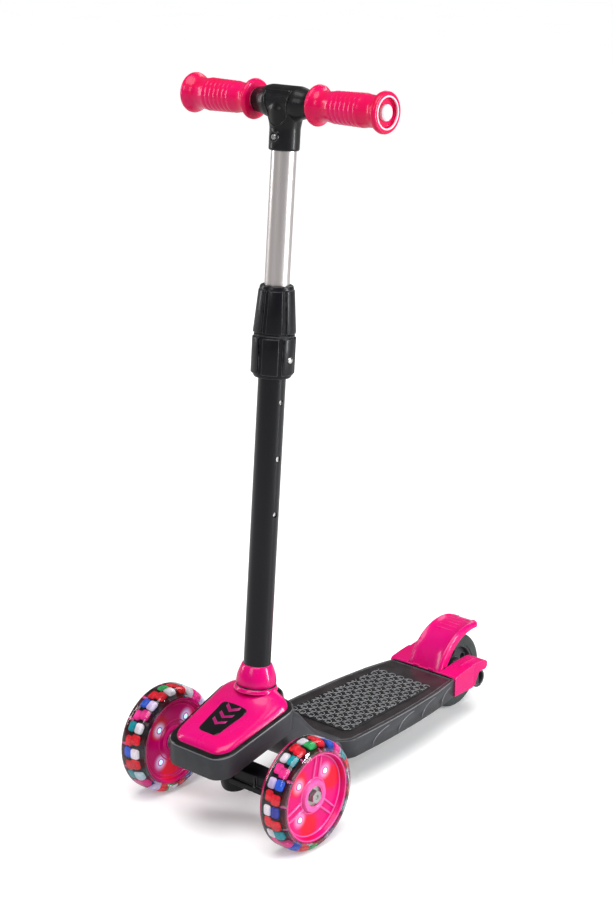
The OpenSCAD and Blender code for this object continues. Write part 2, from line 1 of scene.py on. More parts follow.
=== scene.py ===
"""Looks of a three-wheeled kick scooter, built around its packed mechanical model.

Shapes are drawn in millimetres in a handy local frame and then placed in the part's own frame,
which is in metres: +Z is up, the front faces -Y and +X is the rider's left.
"""

from __future__ import annotations

import json
import logging
import math
import sys
from dataclasses import dataclass
from enum import Enum
from typing import Any, Callable, ClassVar, Iterable, Sequence

import bmesh
import bpy
from mathutils import Matrix, Vector
from mathutils.bvhtree import BVHTree

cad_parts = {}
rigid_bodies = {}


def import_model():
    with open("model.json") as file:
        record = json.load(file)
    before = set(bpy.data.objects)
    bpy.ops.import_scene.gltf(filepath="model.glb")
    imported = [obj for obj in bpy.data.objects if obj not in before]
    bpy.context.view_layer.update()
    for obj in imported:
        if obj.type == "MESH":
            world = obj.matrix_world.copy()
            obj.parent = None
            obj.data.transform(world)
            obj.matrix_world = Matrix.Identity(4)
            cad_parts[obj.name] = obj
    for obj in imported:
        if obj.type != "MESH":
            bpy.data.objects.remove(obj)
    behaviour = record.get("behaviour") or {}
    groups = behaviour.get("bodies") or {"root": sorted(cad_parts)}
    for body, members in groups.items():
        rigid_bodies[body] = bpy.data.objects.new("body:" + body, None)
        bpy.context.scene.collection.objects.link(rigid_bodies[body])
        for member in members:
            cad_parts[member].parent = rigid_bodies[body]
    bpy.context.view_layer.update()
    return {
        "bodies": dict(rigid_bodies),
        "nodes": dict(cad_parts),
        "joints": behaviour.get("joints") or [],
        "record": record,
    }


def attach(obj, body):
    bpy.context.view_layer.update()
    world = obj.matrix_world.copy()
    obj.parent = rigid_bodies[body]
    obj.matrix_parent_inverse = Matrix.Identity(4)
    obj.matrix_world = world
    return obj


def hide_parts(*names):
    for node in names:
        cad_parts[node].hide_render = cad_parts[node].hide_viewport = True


LOG = logging.getLogger("scooter")
MM = 0.001
FLIP = Matrix.Scale(-1, 4, (1, 0, 0))
Colour = tuple[float, float, float]
DUST_TONE: Colour = (0.55, 0.53, 0.5)
# Painted light on the wheel disc: LIT_RED is painted red light in its sectors, LAMP_BLUE the
# painted glow round its lights.
LIT_RED: Colour = (0.8, 0.003, 0.03)
LAMP_BLUE: Colour = (0.28, 0.66, 0.98)
COAT_ROUGH = 0.08
ROUGH_SPREAD = 0.08


class Body(Enum):
    """The bodies that carry finished pieces."""

    FRAME = "frame"
    TRUCK = "truck"
    LEFT = "left_wheel"
    RIGHT = "right_wheel"
    REAR = "rear_wheel"
    NUT = "nut"
    COLUMN = "column"
    FENDER = "fender"


class Slot(Enum):
    """The record's material slots, one named in each finished piece's call."""

    GREY = "dark_grey_plastic"
    MAT = "black_rubber"
    PINK = "pink_plastic"
    BLACK = "black_plastic"
    ZINC = "zinc_steel"
    CLEAR = "clear_tyre"
    LUGS = "blue_plastic"
    LED = "led_plastic"
    GREY_TYRE = "grey_tyre"
    GRIP = "rose_grip"
    PALE = "pale_plastic"


# ---------------------------------------------------------------- placement


@dataclass(frozen=True)
class Layout:
    """Reference places of the scooter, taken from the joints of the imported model."""

    axle: Vector
    rear: Vector
    kingpin: Vector
    king_axis: Vector
    stem_base: Vector
    stem_axis: Vector
    half_track: float

    @classmethod
    def from_frame(cls, frame: dict[str, Any]) -> "Layout":
        """Read the joints.


        Returns:
            The layout, in metres.
        """
        joints = {j["name"]: j for j in frame["joints"]}

        def place(name: str) -> Vector:
            """Where a joint's axis passes."""
            return Vector(joints[name]["pos_m"])

        wheel = place("left_wheel_spin")
        stem = Vector(joints["clamp_turn"]["axis"]).normalized()
        clamp = place("clamp_turn")
        return cls(
            axle=Vector((0.0, wheel.y, wheel.z)),
            rear=place("rear_wheel_spin"),
            kingpin=place("truck_steer"),
            king_axis=Vector(joints["truck_steer"]["axis"]).normalized(),
            stem_base=clamp - stem * (clamp.z / stem.z),
            stem_axis=stem,
            half_track=wheel.x,
        )

    def at_axle(self) -> Matrix:
        """Frame on the floor under the front axle."""
        return Matrix.Translation((0.0, self.axle.y, 0.0))

    @staticmethod
    def along(origin: Vector, axis: Vector) -> Matrix:
        """Frame at a point, with its z along an axis."""
        turn = Vector((0, 0, 1)).rotation_difference(axis).to_matrix().to_4x4()
        return Matrix.Translation(origin) @ turn

    def on_stem(self, distance: float) -> Matrix:
        """Frame on the column's axis, a distance in millimetres above the floor."""
        return self.along(self.stem_base + self.stem_axis * distance * MM, self.stem_axis)

    def on_king(self) -> Matrix:
        """Frame on the kingpin's axis, with its z along the pin."""
        return self.along(self.kingpin, self.king_axis)

    def on_wheel(self, side: int) -> Matrix:
        """Frame at the middle of a front wheel, with its z pointing outwards along the axle.

        Args:
            side: 1 for the rider's left wheel, -1 for the right one.

        Returns:
            The placement matrix, mirrored for the right wheel.
        """
        flip = FLIP if side < 0 else Matrix.Identity(4)
        centre = Matrix.Translation((self.half_track, self.axle.y, self.axle.z))
        return flip @ centre @ Matrix.Rotation(math.pi / 2, 4, "Y")

    def on_rear(self) -> Matrix:
        """Frame at the middle of the rear wheel, with its z along the axle."""
        return Matrix.Translation(self.rear) @ Matrix.Rotation(math.pi / 2, 4, "Y")


# ---------------------------------------------------------------- shapes


class Shape:
    """A mesh in millimetres under construction, with the few operations the scooter needs."""

    def __init__(self) -> None:
        """Start empty."""
        self.bm = bmesh.new()

    @classmethod
    def lathe(cls, profile: Sequence[tuple[float, float]], steps: int = 96,
              closed: bool = True) -> "Shape":
        """Turn a profile round the z axis.

        Args:
            profile: (radius, height) corners.
            steps: divisions of the full turn.
            closed: whether the last corner joins the first.

        Returns:
            The turned shape.
        """
        shape = cls()
        verts = [shape.bm.verts.new((r, 0.0, z)) for r, z in profile]
        pairs = list(zip(verts, verts[1:])) + ([(verts[-1], verts[0])] if closed else [])
        edges = [shape.bm.edges.new(pair) for pair in pairs]
        bmesh.ops.spin(shape.bm, geom=verts + edges, cent=(0, 0, 0), axis=(0, 0, 1),
                       angle=2 * math.pi, steps=steps, use_merge=True)
        return shape.clean()

    @classmethod
    def slab(cls, corners: Sequence[tuple[float, float]], height: float,
             radii: dict[float, Sequence[int]] | None = None, steps: int = 8) -> "Shape":
        """Raise an outline with rounded corners.

        Args:
            corners: the outline's corners, anticlockwise.
            height: how far it is raised.
            radii: corner radius to the corners that take it.
            steps: divisions of a rounded corner.

        Returns:
            The slab, standing on z = 0.
        """
        shape = cls()
        verts = [shape.bm.verts.new((x, y, 0.0)) for x, y in corners]
        shape.bm.faces.new(verts)
        groups = [(r, [verts[i] for i in ids]) for r, ids in (radii or {}).items()]
        for radius, group in groups:
            bmesh.ops.bevel(shape.bm, geom=group, affect="VERTICES", offset=radius,
                            segments=steps, profile=0.5, material=-1)
        made = bmesh.ops.extrude_face_region(shape.bm, geom=shape.bm.faces[:],
                                             use_keep_orig=True)
        bmesh.ops.translate(shape.bm, vec=(0, 0, height), verts=[
            g for g in made["geom"] if isinstance(g, bmesh.types.BMVert)])
        return shape.clean()

    @classmethod
    def box(cls, low: Sequence[float], high: Sequence[float]) -> "Shape":
        """A block between two corners.

        Args:
            low: the corner with the least coordinates.
            high: the opposite corner.

        Returns:
            The block.
        """
        shape = cls()
        size = [h - l for l, h in zip(low, high)]
        middle = [(h + l) / 2 for l, h in zip(low, high)]
        bmesh.ops.create_cube(shape.bm, size=1.0,
                              matrix=Matrix.Translation(middle) @ Matrix.Diagonal((*size, 1)))
        return shape

    @classmethod
    def rod(cls, radius: float, low: float, high: float, steps: int = 48) -> "Shape":
        """A round bar along z.

        Args:
            radius: radius of the bar.
            low: height of the low end.
            high: height of the high end.
            steps: sides of the bar.

        Returns:
            The bar.
        """
        shape = cls()
        bmesh.ops.create_cone(shape.bm, cap_ends=True, segments=steps, radius1=radius,
                              radius2=radius, depth=high - low,
                              matrix=Matrix.Translation((0, 0, (low + high) / 2)))
        return shape

    @classmethod
    def loft(cls, rings: Sequence[Sequence[Vector]], caps: bool = True) -> "Shape":
        """Skin a row of matching closed outlines.

        Args:
            rings: outlines with the same number of points each.
            caps: whether the ends are closed with a face; a loop has none.

        Returns:
            The skinned shape.
        """
        shape = cls()
        loops = []
        for ring in rings:
            verts = [shape.bm.verts.new(p) for p in ring]
            loops.append([shape.bm.edges.new((a, b))
                          for a, b in zip(verts, verts[1:] + verts[:1])])
        for one, two in zip(loops, loops[1:]):
            bmesh.ops.bridge_loops(shape.bm, edges=one + two)
        for loop in (loops[0], loops[-1]) if caps else ():
            bmesh.ops.contextual_create(shape.bm, geom=loop)
        return shape.clean()

    @classmethod
    def swept(cls, section: Sequence[tuple[float, float, float]],
              axis: tuple[float, float, float], degrees: float, steps: int) -> "Shape":
        """Sweep a closed section part of the way round the origin.

        Args:
            section: the section's points.
            axis: the axis of the sweep.
            degrees: how far it goes.
            steps: divisions of the sweep.

        Returns:
            The swept bar, closed at both ends.
        """
        shape = cls()
        face = shape.bm.faces.new([shape.bm.verts.new(p) for p in section])
        bmesh.ops.spin(shape.bm, geom=[face], cent=(0, 0, 0), axis=axis,
                       angle=math.radians(degrees), steps=steps, use_merge=False)
        rims = [e for e in shape.bm.edges if e.is_boundary]
        bmesh.ops.holes_fill(shape.bm, edges=rims, sides=0)
        return shape.clean()

    def split(self, point: Sequence[float], normal: Sequence[float],
              clear: bool = False) -> list[bmesh.types.BMEdge]:
        """Cut every face along a plane.

        Args:
            point: a point of the plane.
            normal: the way the plane faces.
            clear: remove what lies on the side it faces.

        Returns:
            The edges of the cut.
        """
        geometry = self.bm.verts[:] + self.bm.edges[:] + self.bm.faces[:]
        cut = bmesh.ops.bisect_plane(self.bm, geom=geometry, plane_co=point, plane_no=normal,
                                     clear_outer=clear)
        return [e for e in cut["geom_cut"] if isinstance(e, bmesh.types.BMEdge)]

    def as_object(self, name: str) -> bpy.types.Object:
        """Turn the shape, which is used up, into an object of the scene.

        Args:
            name: name of the object and of its mesh.

        Returns:
            The new object.
        """
        mesh = bpy.data.meshes.new(name)
        self.bm.to_mesh(mesh)
        self.bm.free()
        obj = bpy.data.objects.new(name, mesh)
        bpy.context.scene.collection.objects.link(obj)
        return obj

    @classmethod
    def taken(cls, *objects: bpy.types.Object) -> "Shape":
        """Read the first object with its modifiers applied, then remove them all.

        Args:
            objects: the object to read, and any that its modifiers need.

        Returns:
            The shape.
        """
        bpy.context.view_layer.update()
        shape = cls()
        shape.bm.from_object(objects[0], bpy.context.evaluated_depsgraph_get())
        for obj in objects:
            mesh = obj.data
            bpy.data.objects.remove(obj)
            bpy.data.meshes.remove(mesh)
        return shape

    def dye(self, colour: Colour) -> "Shape":
        """Note one colour on every vertex, for the finishes that read it.

        Args:
            colour: the colour.

        Returns:
            The shape itself.
        """
        layer = self.bm.verts.layers.float_color.new("tint")
        for v in self.bm.verts:
            v[layer] = (*colour, 1.0)
        return self

    def clean(self) -> "Shape":
        """Merge doubles and point every face outwards.

        Returns:
            The shape itself.
        """
        bmesh.ops.remove_doubles(self.bm, verts=self.bm.verts, dist=1e-4)
        bmesh.ops.recalc_face_normals(self.bm, faces=self.bm.faces)
        return self

    def round_edges(self, width: float, angle: float = 30.0, steps: int = 3,
                    where: Callable[[bmesh.types.BMEdge], bool] | None = None) -> "Shape":
        """Bevel the edges sharper than an angle.

        Args:
            width: width of the rounding.
            angle: least angle between the two faces, in degrees.
            steps: divisions of the rounding.
            where: keeps only the edges for which it is true.

        Returns:
            The shape itself.
        """
        limit = math.radians(angle)
        edges = [e for e in self.bm.edges
                 if e.is_manifold and e.calc_face_angle(0.0) > limit and (not where or where(e))]
        if edges:
            bmesh.ops.bevel(self.bm, geom=edges, affect="EDGES", offset=width,
                            offset_type="OFFSET", segments=steps, profile=0.5, material=-1,
                            clamp_overlap=True)
        return self

    def moved(self, matrix: Matrix) -> "Shape":
        """Transform every vertex.

        Args:
            matrix: the transform; a mirroring one keeps the faces outwards.

        Returns:
            The shape itself.
        """
        bmesh.ops.transform(self.bm, matrix=matrix, verts=self.bm.verts)
        if matrix.determinant() < 0:
            bmesh.ops.reverse_faces(self.bm, faces=self.bm.faces)
        return self

    def shifted(self, x: float = 0.0, y: float = 0.0, z: float = 0.0) -> "Shape":
        """Move every vertex."""
        return self.moved(Matrix.Translation((x, y, z)))

    def turned(self, degrees: float, axis: str) -> "Shape":
        """Turn every vertex about an axis through the origin."""
        return self.moved(Matrix.Rotation(math.radians(degrees), 4, axis))

    def add(self, *others: "Shape") -> "Shape":
        """Take in other shapes as separate closed shells.

        Args:
            others: the shapes, which are used up.

        Returns:
            The shape itself.
        """
        for other in others:
            spare = bpy.data.meshes.new("spare")
            other.bm.to_mesh(spare)
            self.bm.from_mesh(spare)
            bpy.data.meshes.remove(spare)
            other.bm.free()
        return self

    def copy(self) -> "Shape":
        """A second shape like this one.

        Returns:
            The copy.
        """
        twin = Shape()
        twin.bm.free()
        twin.bm = self.bm.copy()
        return twin

    def mirrored(self) -> "Shape":
        """Add a copy mirrored in x."""
        return self.add(self.copy().moved(FLIP))

    def paint(self, index: int, where: Callable[[bmesh.types.BMFace], bool]) -> "Shape":
        """Give the faces for which where() is true another material number.

        Args:
            index: the material number.
            where: picks the faces.

        Returns:
            The shape itself.
        """
        for face in self.bm.faces:
            if where(face):
                face.material_index = index
        return self

    def lift(self, height: Callable[[float, float], float]) -> "Shape":
        """Raise each vertex by a height that depends on its x and y.

        Args:
            height: the height, from x and y.

        Returns:
            The shape itself.
        """
        for v in self.bm.verts:
            v.co.z += height(v.co.x, v.co.y)
        return self


def ring_profile(r_in: float, r_out: float, low: float, high: float) -> list[tuple[float, float]]:
    """The four corners of a plain ring's section."""
    return [(r_in, low), (r_out, low), (r_out, high), (r_in, high)]


def circle(radius: float, z: float, count: int = 96) -> list[Vector]:
    """Points round the z axis.

    Args:
        radius: radius of the circle.
        z: its height.
        count: how many points.

    Returns:
        The points.
    """
    turns = (2 * math.pi * k / count for k in range(count))
    return [Vector((radius * math.cos(a), radius * math.sin(a), z)) for a in turns]


def round_corner(centre: tuple[float, float], radius: float, start: float,
                 steps: int) -> list[tuple[float, float]]:
    """A quarter of a circle or a little more, ending level with its centre.

    Args:
        centre: (radius, height) of its centre.
        radius: its radius.
        start: angle of its first point in degrees, below 0.
        steps: divisions.

    Returns:
        The points.
    """
    turns = (math.radians(start - start * k / steps) for k in range(steps + 1))
    return [(centre[0] + radius * math.cos(a), centre[1] + radius * math.sin(a))
            for a in turns]


def soften(obj: bpy.types.Object, width: float, segments: int = 3) -> None:
    """Round a piece's sharp edges with a live bevel.

    Args:
        obj: the piece.
        width: width in millimetres.
        segments: divisions of the rounding.
    """
    bevel = obj.modifiers.new("rounding", "BEVEL")
    bevel.width = width * MM
    bevel.segments = segments
    bevel.limit_method = "ANGLE"
    bevel.angle_limit = math.radians(35)
    bevel.harden_normals = False


def carve(shape: Shape, cutter: Shape) -> Shape:
    """Cut one closed shape out of another.

    Args:
        shape: the body, which is used up.
        cutter: the other shape, which is used up.

    Returns:
        The resulting shape.
    """
    objects = [source.as_object("spare") for source in (shape, cutter)]
    cut = objects[0].modifiers.new("cut", "BOOLEAN")
    cut.operation = "DIFFERENCE"
    cut.object = objects[1]
    cut.solver = "EXACT"
    return Shape.taken(*objects).clean()


def weld(shape: Shape, voxel: float, passes: int) -> Shape:
    """Melt overlapping shells into one smooth moulding.

    Args:
        shape: the overlapping shells, which are used up.
        voxel: size of the remeshing cell in millimetres.
        passes: rounds of smoothing.

    Returns:
        The moulding.
    """
    obj = shape.as_object("spare")
    remesh = obj.modifiers.new("remesh", "REMESH")
    remesh.mode = "VOXEL"
    remesh.voxel_size = voxel
    result = Shape.taken(obj)
    for _ in range(passes):
        bmesh.ops.smooth_vert(result.bm, verts=result.bm.verts, factor=0.5,
                              use_axis_x=True, use_axis_y=True, use_axis_z=True)
    return result


def bead(points: Sequence[Vector], radius: float, steps: int = 8,
         closed: bool = False) -> Shape:
    """A thin round bead along a line of points.

    Args:
        points: the points, in millimetres.
        radius: radius of the bead.
        steps: sides of the bead.
        closed: whether the line is a loop.

    Returns:
        The bead.
    """
    rings = []
    count = len(points)
    for i, p in enumerate(points):
        before = points[(i - 1) % count] if closed or i else p
        after = points[(i + 1) % count] if closed or i < count - 1 else p
        along = (after - before).normalized()
        turn = Vector((0, 0, 1)).rotation_difference(along).to_matrix()
        end = not closed and i in (0, count - 1)
        size = radius * (0.35 if end else 1.0)
        rings.append([p + turn @ Vector((size * math.cos(a), size * math.sin(a), 0))
                      for a in (2 * math.pi * k / steps for k in range(steps))])
    if closed:
        rings.append(rings[0])
    return Shape.loft(rings, not closed)


# ---------------------------------------------------------------- shader groups


class Net:
    """Adds and joins nodes in one node tree."""

    def __init__(self, tree: bpy.types.NodeTree) -> None:
        """Work on a tree."""
        self.tree = tree

    def add(self, kind: str, inputs: dict[str | int, Any] | None = None,
            **settings: Any) -> bpy.types.Node:
        """Add a node.

        Args:
            kind: node type without its "ShaderNode" prefix.
            inputs: socket name or number to a value or to another node's output.
            settings: properties of the node.

        Returns:
            The node.
        """
        node = self.tree.nodes.new("ShaderNode" + kind)
        for name, value in settings.items():
            setattr(node, name, value)
        for name, value in (inputs or {}).items():
            self.put(node.inputs[name], value)
        return node

    def put(self, socket: bpy.types.NodeSocket, value: Any) -> None:
        """Link a socket to an output, or set its value.

        Args:
            socket: the input socket.
            value: an output, a number or a colour.
        """
        if isinstance(value, bpy.types.NodeSocket):
            self.tree.links.new(value, socket)
        elif isinstance(value, tuple) and len(value) == 3 and socket.type == "RGBA":
            socket.default_value = (*value, 1.0)
        else:
            socket.default_value = value

    def math(self, operation: str, a: Any, b: Any = 0.0, c: Any = 0.0,
             clamp: bool = False) -> bpy.types.NodeSocket:
        """Arithmetic on one to three numbers.

        Args:
            operation: the math node's operation.
            a: first number or output.
            b: second number or output.
            c: third number or output.
            clamp: keep the result between 0 and 1.

        Returns:
            The result's socket.
        """
        node = self.add("Math", {0: a, 1: b, 2: c}, operation=operation, use_clamp=clamp)
        return node.outputs[0]

    def ramp(self, value: Any, low: float, high: float) -> bpy.types.NodeSocket:
        """Smooth step from 0 at low to 1 at high."""
        node = self.add("MapRange", {"Value": value, "From Min": low, "From Max": high},
                        interpolation_type="SMOOTHSTEP")
        return node.outputs["Result"]

    def mix(self, share: Any, a: Any, b: Any) -> bpy.types.NodeSocket:
        """Blend two colours.

        Args:
            share: how much of the second one, from 0 to 1.
            a: the first colour.
            b: the second colour.

        Returns:
            The result's socket.
        """
        node = self.add("Mix", data_type="RGBA")
        for socket, value in zip((node.inputs[0], node.inputs[6], node.inputs[7]), (share, a, b)):
            self.put(socket, value)
        return node.outputs[2]

    def place(self) -> bpy.types.NodeSocket:
        """Object coordinates."""
        return self.add("TexCoord").outputs["Object"]

    def noise(self, scale: Any, detail: float = 2.0, rough: float = 0.5,
              vector: Any = None) -> bpy.types.NodeSocket:
        """Noise between 0 and 1 on object coordinates."""
        node = self.add("TexNoise", {"Vector": vector or self.place(), "Scale": scale,
                                     "Detail": detail, "Roughness": rough})
        return node.outputs["Fac"]


class Effect(Enum):
    """The shared surface effects."""

    GRAIN = "moulding grain"
    WEAR_AND_HIGHLIGHT = "edge wear"
    DUST = "settled dust"
    BRUSH = "drawn lines"


class Effects:
    """Builds each shared shader group once."""

    def __init__(self) -> None:
        """Start with no groups."""
        self.made: dict[Effect, bpy.types.NodeTree] = {}

    def get(self, effect: Effect) -> bpy.types.NodeTree:
        """The group of an effect, built on first use.

        Args:
            effect: the effect.

        Returns:
            Its node group.
        """
        if effect not in self.made:
            makers = {Effect.GRAIN: self.grain, Effect.WEAR_AND_HIGHLIGHT: self.wear_and_highlight, Effect.DUST: self.dust,
                      Effect.BRUSH: self.brush}
            self.made[effect] = makers[effect]()
        return self.made[effect]

    @staticmethod
    def start(effect: Effect, inputs: dict[str, float],
              outputs: Sequence[str]) -> tuple[Net, bpy.types.Node, bpy.types.Node]:
        """Open a new group with number sockets.

        Args:
            effect: the effect it makes.
            inputs: name and default of each input.
            outputs: names of the outputs.

        Returns:
            The net, the group's input node and its output node.
        """
        tree = bpy.data.node_groups.new(effect.value, "ShaderNodeTree")
        for name, value in inputs.items():
            socket = tree.interface.new_socket(name=name, in_out="INPUT",
                                               socket_type="NodeSocketFloat")
            socket.default_value = value
        for name in outputs:
            tree.interface.new_socket(name=name, in_out="OUTPUT", socket_type="NodeSocketFloat")
        net = Net(tree)
        return net, tree.nodes.new("NodeGroupInput"), tree.nodes.new("NodeGroupOutput")

    def grain(self) -> bpy.types.NodeTree:
        """Fine texture of moulded plastic: a height and a slow tone variation.

        Returns:
            The group.
        """
        net, given, made = self.start(Effect.GRAIN, {"Scale": 1400.0, "Patch": 18.0},
                                      ("Height", "Tone"))
        fine = net.noise(given.outputs["Scale"], 3.0, 0.6)
        cell = net.add("TexVoronoi", {"Vector": net.place(), "Scale": given.outputs["Scale"]})
        height = net.math("MULTIPLY", fine, net.math("ADD", cell.outputs["Distance"], 0.5))
        tone = net.ramp(net.noise(given.outputs["Patch"], 4.0, 0.6), 0.3, 0.7)
        net.put(made.inputs["Height"], height)
        net.put(made.inputs["Tone"], tone)
        return net.tree

    def wear_and_highlight(self) -> bpy.types.NodeTree:
        """Mask of the edges, broken up by noise: partly real scuffing, partly a painted highlight
        along the edges.

        Returns:
            The group.
        """
        net, given, made = self.start(Effect.WEAR_AND_HIGHLIGHT, {"Radius": 0.0013, "Breakup": 90.0},
                                      ("Mask",))
        soft = net.add("Bevel", {"Radius": given.outputs["Radius"]}, samples=3)
        face = net.add("NewGeometry")
        facing = net.add("VectorMath", {0: soft.outputs[0], 1: face.outputs["Normal"]},
                         operation="DOT_PRODUCT")
        edge = net.ramp(net.math("SUBTRACT", 1.0, facing.outputs["Value"]), 0.01, 0.16)
        # The breakup is wide so the mask runs as nearly unbroken light lines: a painted highlight
        # on the edges as well as scuffing.
        rubbed_and_lit = net.ramp(net.noise(given.outputs["Breakup"], 5.0, 0.7), 0.3, 0.55)
        net.put(made.inputs["Mask"], net.math("MULTIPLY", edge, rubbed_and_lit, clamp=True))
        return net.tree

    def dust(self) -> bpy.types.NodeTree:
        """Mask of dust on surfaces that face up.

        Returns:
            The group.
        """
        net, given, made = self.start(Effect.DUST, {"Amount": 0.2, "Scale": 45.0}, ("Mask",))
        face = net.add("NewGeometry")
        up = net.add("SeparateXYZ", {0: face.outputs["Normal"]}).outputs["Z"]
        flat = net.ramp(up, 0.35, 1.0)
        cloud = net.ramp(net.noise(given.outputs["Scale"], 6.0, 0.65), 0.35, 0.75)
        both = net.math("MULTIPLY", flat, cloud)
        net.put(made.inputs["Mask"], net.math("MULTIPLY", both, given.outputs["Amount"]))
        return net.tree

    def brush(self) -> bpy.types.NodeTree:
        """Fine lines drawn along the column: a height and a streak mask.

        Returns:
            The group.
        """
        net, given, made = self.start(Effect.BRUSH, {"Scale": 900.0, "Stretch": 0.02},
                                      ("Height", "Streak"))
        stretch = net.add("CombineXYZ", {0: 1.0, 1: 1.0, 2: given.outputs["Stretch"]})
        lines = net.add("VectorMath", {0: net.place(), 1: stretch.outputs[0]},
                        operation="MULTIPLY").outputs[0]
        fine = net.noise(given.outputs["Scale"], 2.0, 0.5, lines)
        broad = net.noise(net.math("MULTIPLY", given.outputs["Scale"], 0.12), 3.0, 0.6, lines)
        net.put(made.inputs["Height"], fine)
        net.put(made.inputs["Streak"], net.ramp(broad, 0.35, 0.7))
        return net.tree


# ---------------------------------------------------------------- finishes


class Finish:
    """What every finish shares: a material with a Principled shader."""

    effects = Effects()

    def open(self, name: str) -> tuple[Net, bpy.types.Node, bpy.types.Material]:
        """Start a material.

        Args:
            name: the material's name.

        Returns:
            Its net, its Principled node and the material.
        """
        material = bpy.data.materials.new(name)
        material.use_nodes = True
        net = Net(material.node_tree)
        return net, material.node_tree.nodes["Principled BSDF"], material

    def effect(self, net: Net, effect: Effect, **inputs: float) -> bpy.types.Node:
        """Place a shared group in a material.

        Args:
            net: the material's net.
            effect: the effect.
            inputs: its values, by lower-case input name.

        Returns:
            The group node.
        """
        node = net.tree.nodes.new("ShaderNodeGroup")
        node.node_tree = self.effects.get(effect)
        for name, value in inputs.items():
            node.inputs[name.capitalize()].default_value = value
        return node

    @staticmethod
    def bump(net: Net, shader: bpy.types.Node, height: Any, depth: float,
             strength: float = 1.0) -> None:
        """Feed a height into a shader's normal."""
        node = net.add("Bump", {"Height": height, "Strength": strength, "Distance": depth})
        net.put(shader.inputs["Normal"], node.outputs["Normal"])


@dataclass(frozen=True)
class Plastic(Finish):
    """Moulded plastic, glossy or grained."""

    name: str
    colour: Colour
    shade: Colour
    worn_and_lit: Colour
    rough: float = 0.4
    coat: float = 0.0
    grain: float = 1400.0
    depth: float = 0.00003
    dust: float = 0.05
    wear_and_highlight: float = 0.5
    glow: float = 0.0
    gloss: float = 0.22

    def make(self) -> bpy.types.Material:
        """Build the material.

        Returns:
            The material.
        """
        net, shader, material = self.open(self.name)
        grain = self.effect(net, Effect.GRAIN, scale=self.grain)
        # The edge mask lightens edges towards the worn colour: partly real scuffing, partly a
        # painted highlight along the edges.
        wear_and_highlight = self.effect(net, Effect.WEAR_AND_HIGHLIGHT)
        dust = self.effect(net, Effect.DUST, amount=self.dust)
        toned = net.mix(grain.outputs["Tone"], self.colour, self.shade)
        rubbed_and_lit = net.math("MULTIPLY", wear_and_highlight.outputs["Mask"], self.wear_and_highlight)
        base = net.mix(dust.outputs["Mask"], net.mix(rubbed_and_lit, toned, self.worn_and_lit), DUST_TONE)
        net.put(shader.inputs["Base Color"], base)
        rough = net.math("MULTIPLY_ADD", grain.outputs["Tone"], ROUGH_SPREAD, self.rough)
        net.put(shader.inputs["Roughness"], net.math("ADD", rough, dust.outputs["Mask"]))
        net.put(shader.inputs["Coat Weight"], self.coat)
        shader.inputs["Coat Roughness"].default_value = COAT_ROUGH
        shader.inputs["Specular IOR Level"].default_value = self.gloss
        if self.glow:
            net.put(shader.inputs["Emission Color"], base)
            shader.inputs["Emission Strength"].default_value = self.glow
        self.bump(net, shader, grain.outputs["Height"], self.depth)
        return material


@dataclass(frozen=True)
class Halo(Plastic):
    """The disc's plastic, with a painted blue glow round each of the wheel's lights, painted red
    light in its sectors and a faint painted glow all over.
    """

    def make(self) -> bpy.types.Material:
        """Build the material.

        Returns:
            The material.
        """
        material = super().make()
        net = Net(material.node_tree)
        shader = material.node_tree.nodes["Principled BSDF"]
        # Painted light: a blue glow round each light, red patches in the sectors, and below a
        # faint glow of the disc's own colour all over.
        near = net.add("Attribute", attribute_name="halo").outputs["Fac"]
        base = shader.inputs["Base Color"].links[0].from_socket
        red = net.add("Attribute", attribute_name="red").outputs["Fac"]
        toned = net.mix(red, base, LIT_RED)
        net.put(shader.inputs["Base Color"], toned)
        # dim is the faint painted glow of the disc's own colour.
        dim = net.mix(0.94, toned, (0.0, 0.0, 0.0))
        net.put(shader.inputs["Emission Color"], net.mix(near, dim, LAMP_BLUE))
        shader.inputs["Emission Strength"].default_value = 1.0
        return material


@dataclass(frozen=True)
class Metal(Finish):
    """Bare, plated or drawn metal."""

    name: str
    colour: Colour
    shade: Colour
    rough: float = 0.3
    drawn: float = 0.0
    grain: float = 2200.0

    def make(self) -> bpy.types.Material:
        """Build the material.

        Returns:
            The material.
        """
        net, shader, material = self.open(self.name)
        grain = self.effect(net, Effect.GRAIN, scale=self.grain, patch=60.0)
        shader.inputs["Metallic"].default_value = 1.0
        tone, height = grain.outputs["Tone"], grain.outputs["Height"]
        if self.drawn:
            lines = self.effect(net, Effect.BRUSH)
            tone, height = lines.outputs["Streak"], lines.outputs["Height"]
        net.put(shader.inputs["Base Color"], net.mix(tone, self.colour, self.shade))
        net.put(shader.inputs["Roughness"], net.math("MULTIPLY_ADD", tone, 0.12, self.rough))
        self.bump(net, shader, height, 0.00001 + 0.00003 * self.drawn)
        return material


@dataclass(frozen=True)
class Clear(Finish):
    """Clear soft plastic of the front tyres."""

    name: str = "clear tyre"
    tint: Colour = (0.97, 0.92, 0.95)

    def make(self) -> bpy.types.Material:
        """Build the material.

        Returns:
            The material.
        """
        net, shader, material = self.open(self.name)
        grain = self.effect(net, Effect.GRAIN, scale=500.0, patch=40.0)
        net.put(shader.inputs["Base Color"],
                net.mix(grain.outputs["Tone"], self.tint, (0.97, 0.88, 0.93)))
        net.put(shader.inputs["Roughness"],
                net.math("MULTIPLY", grain.outputs["Tone"], 0.05))
        shader.inputs["Transmission Weight"].default_value = 1.0
        shader.inputs["IOR"].default_value = 1.42
        self.bump(net, shader, grain.outputs["Height"], 0.00001)
        return material


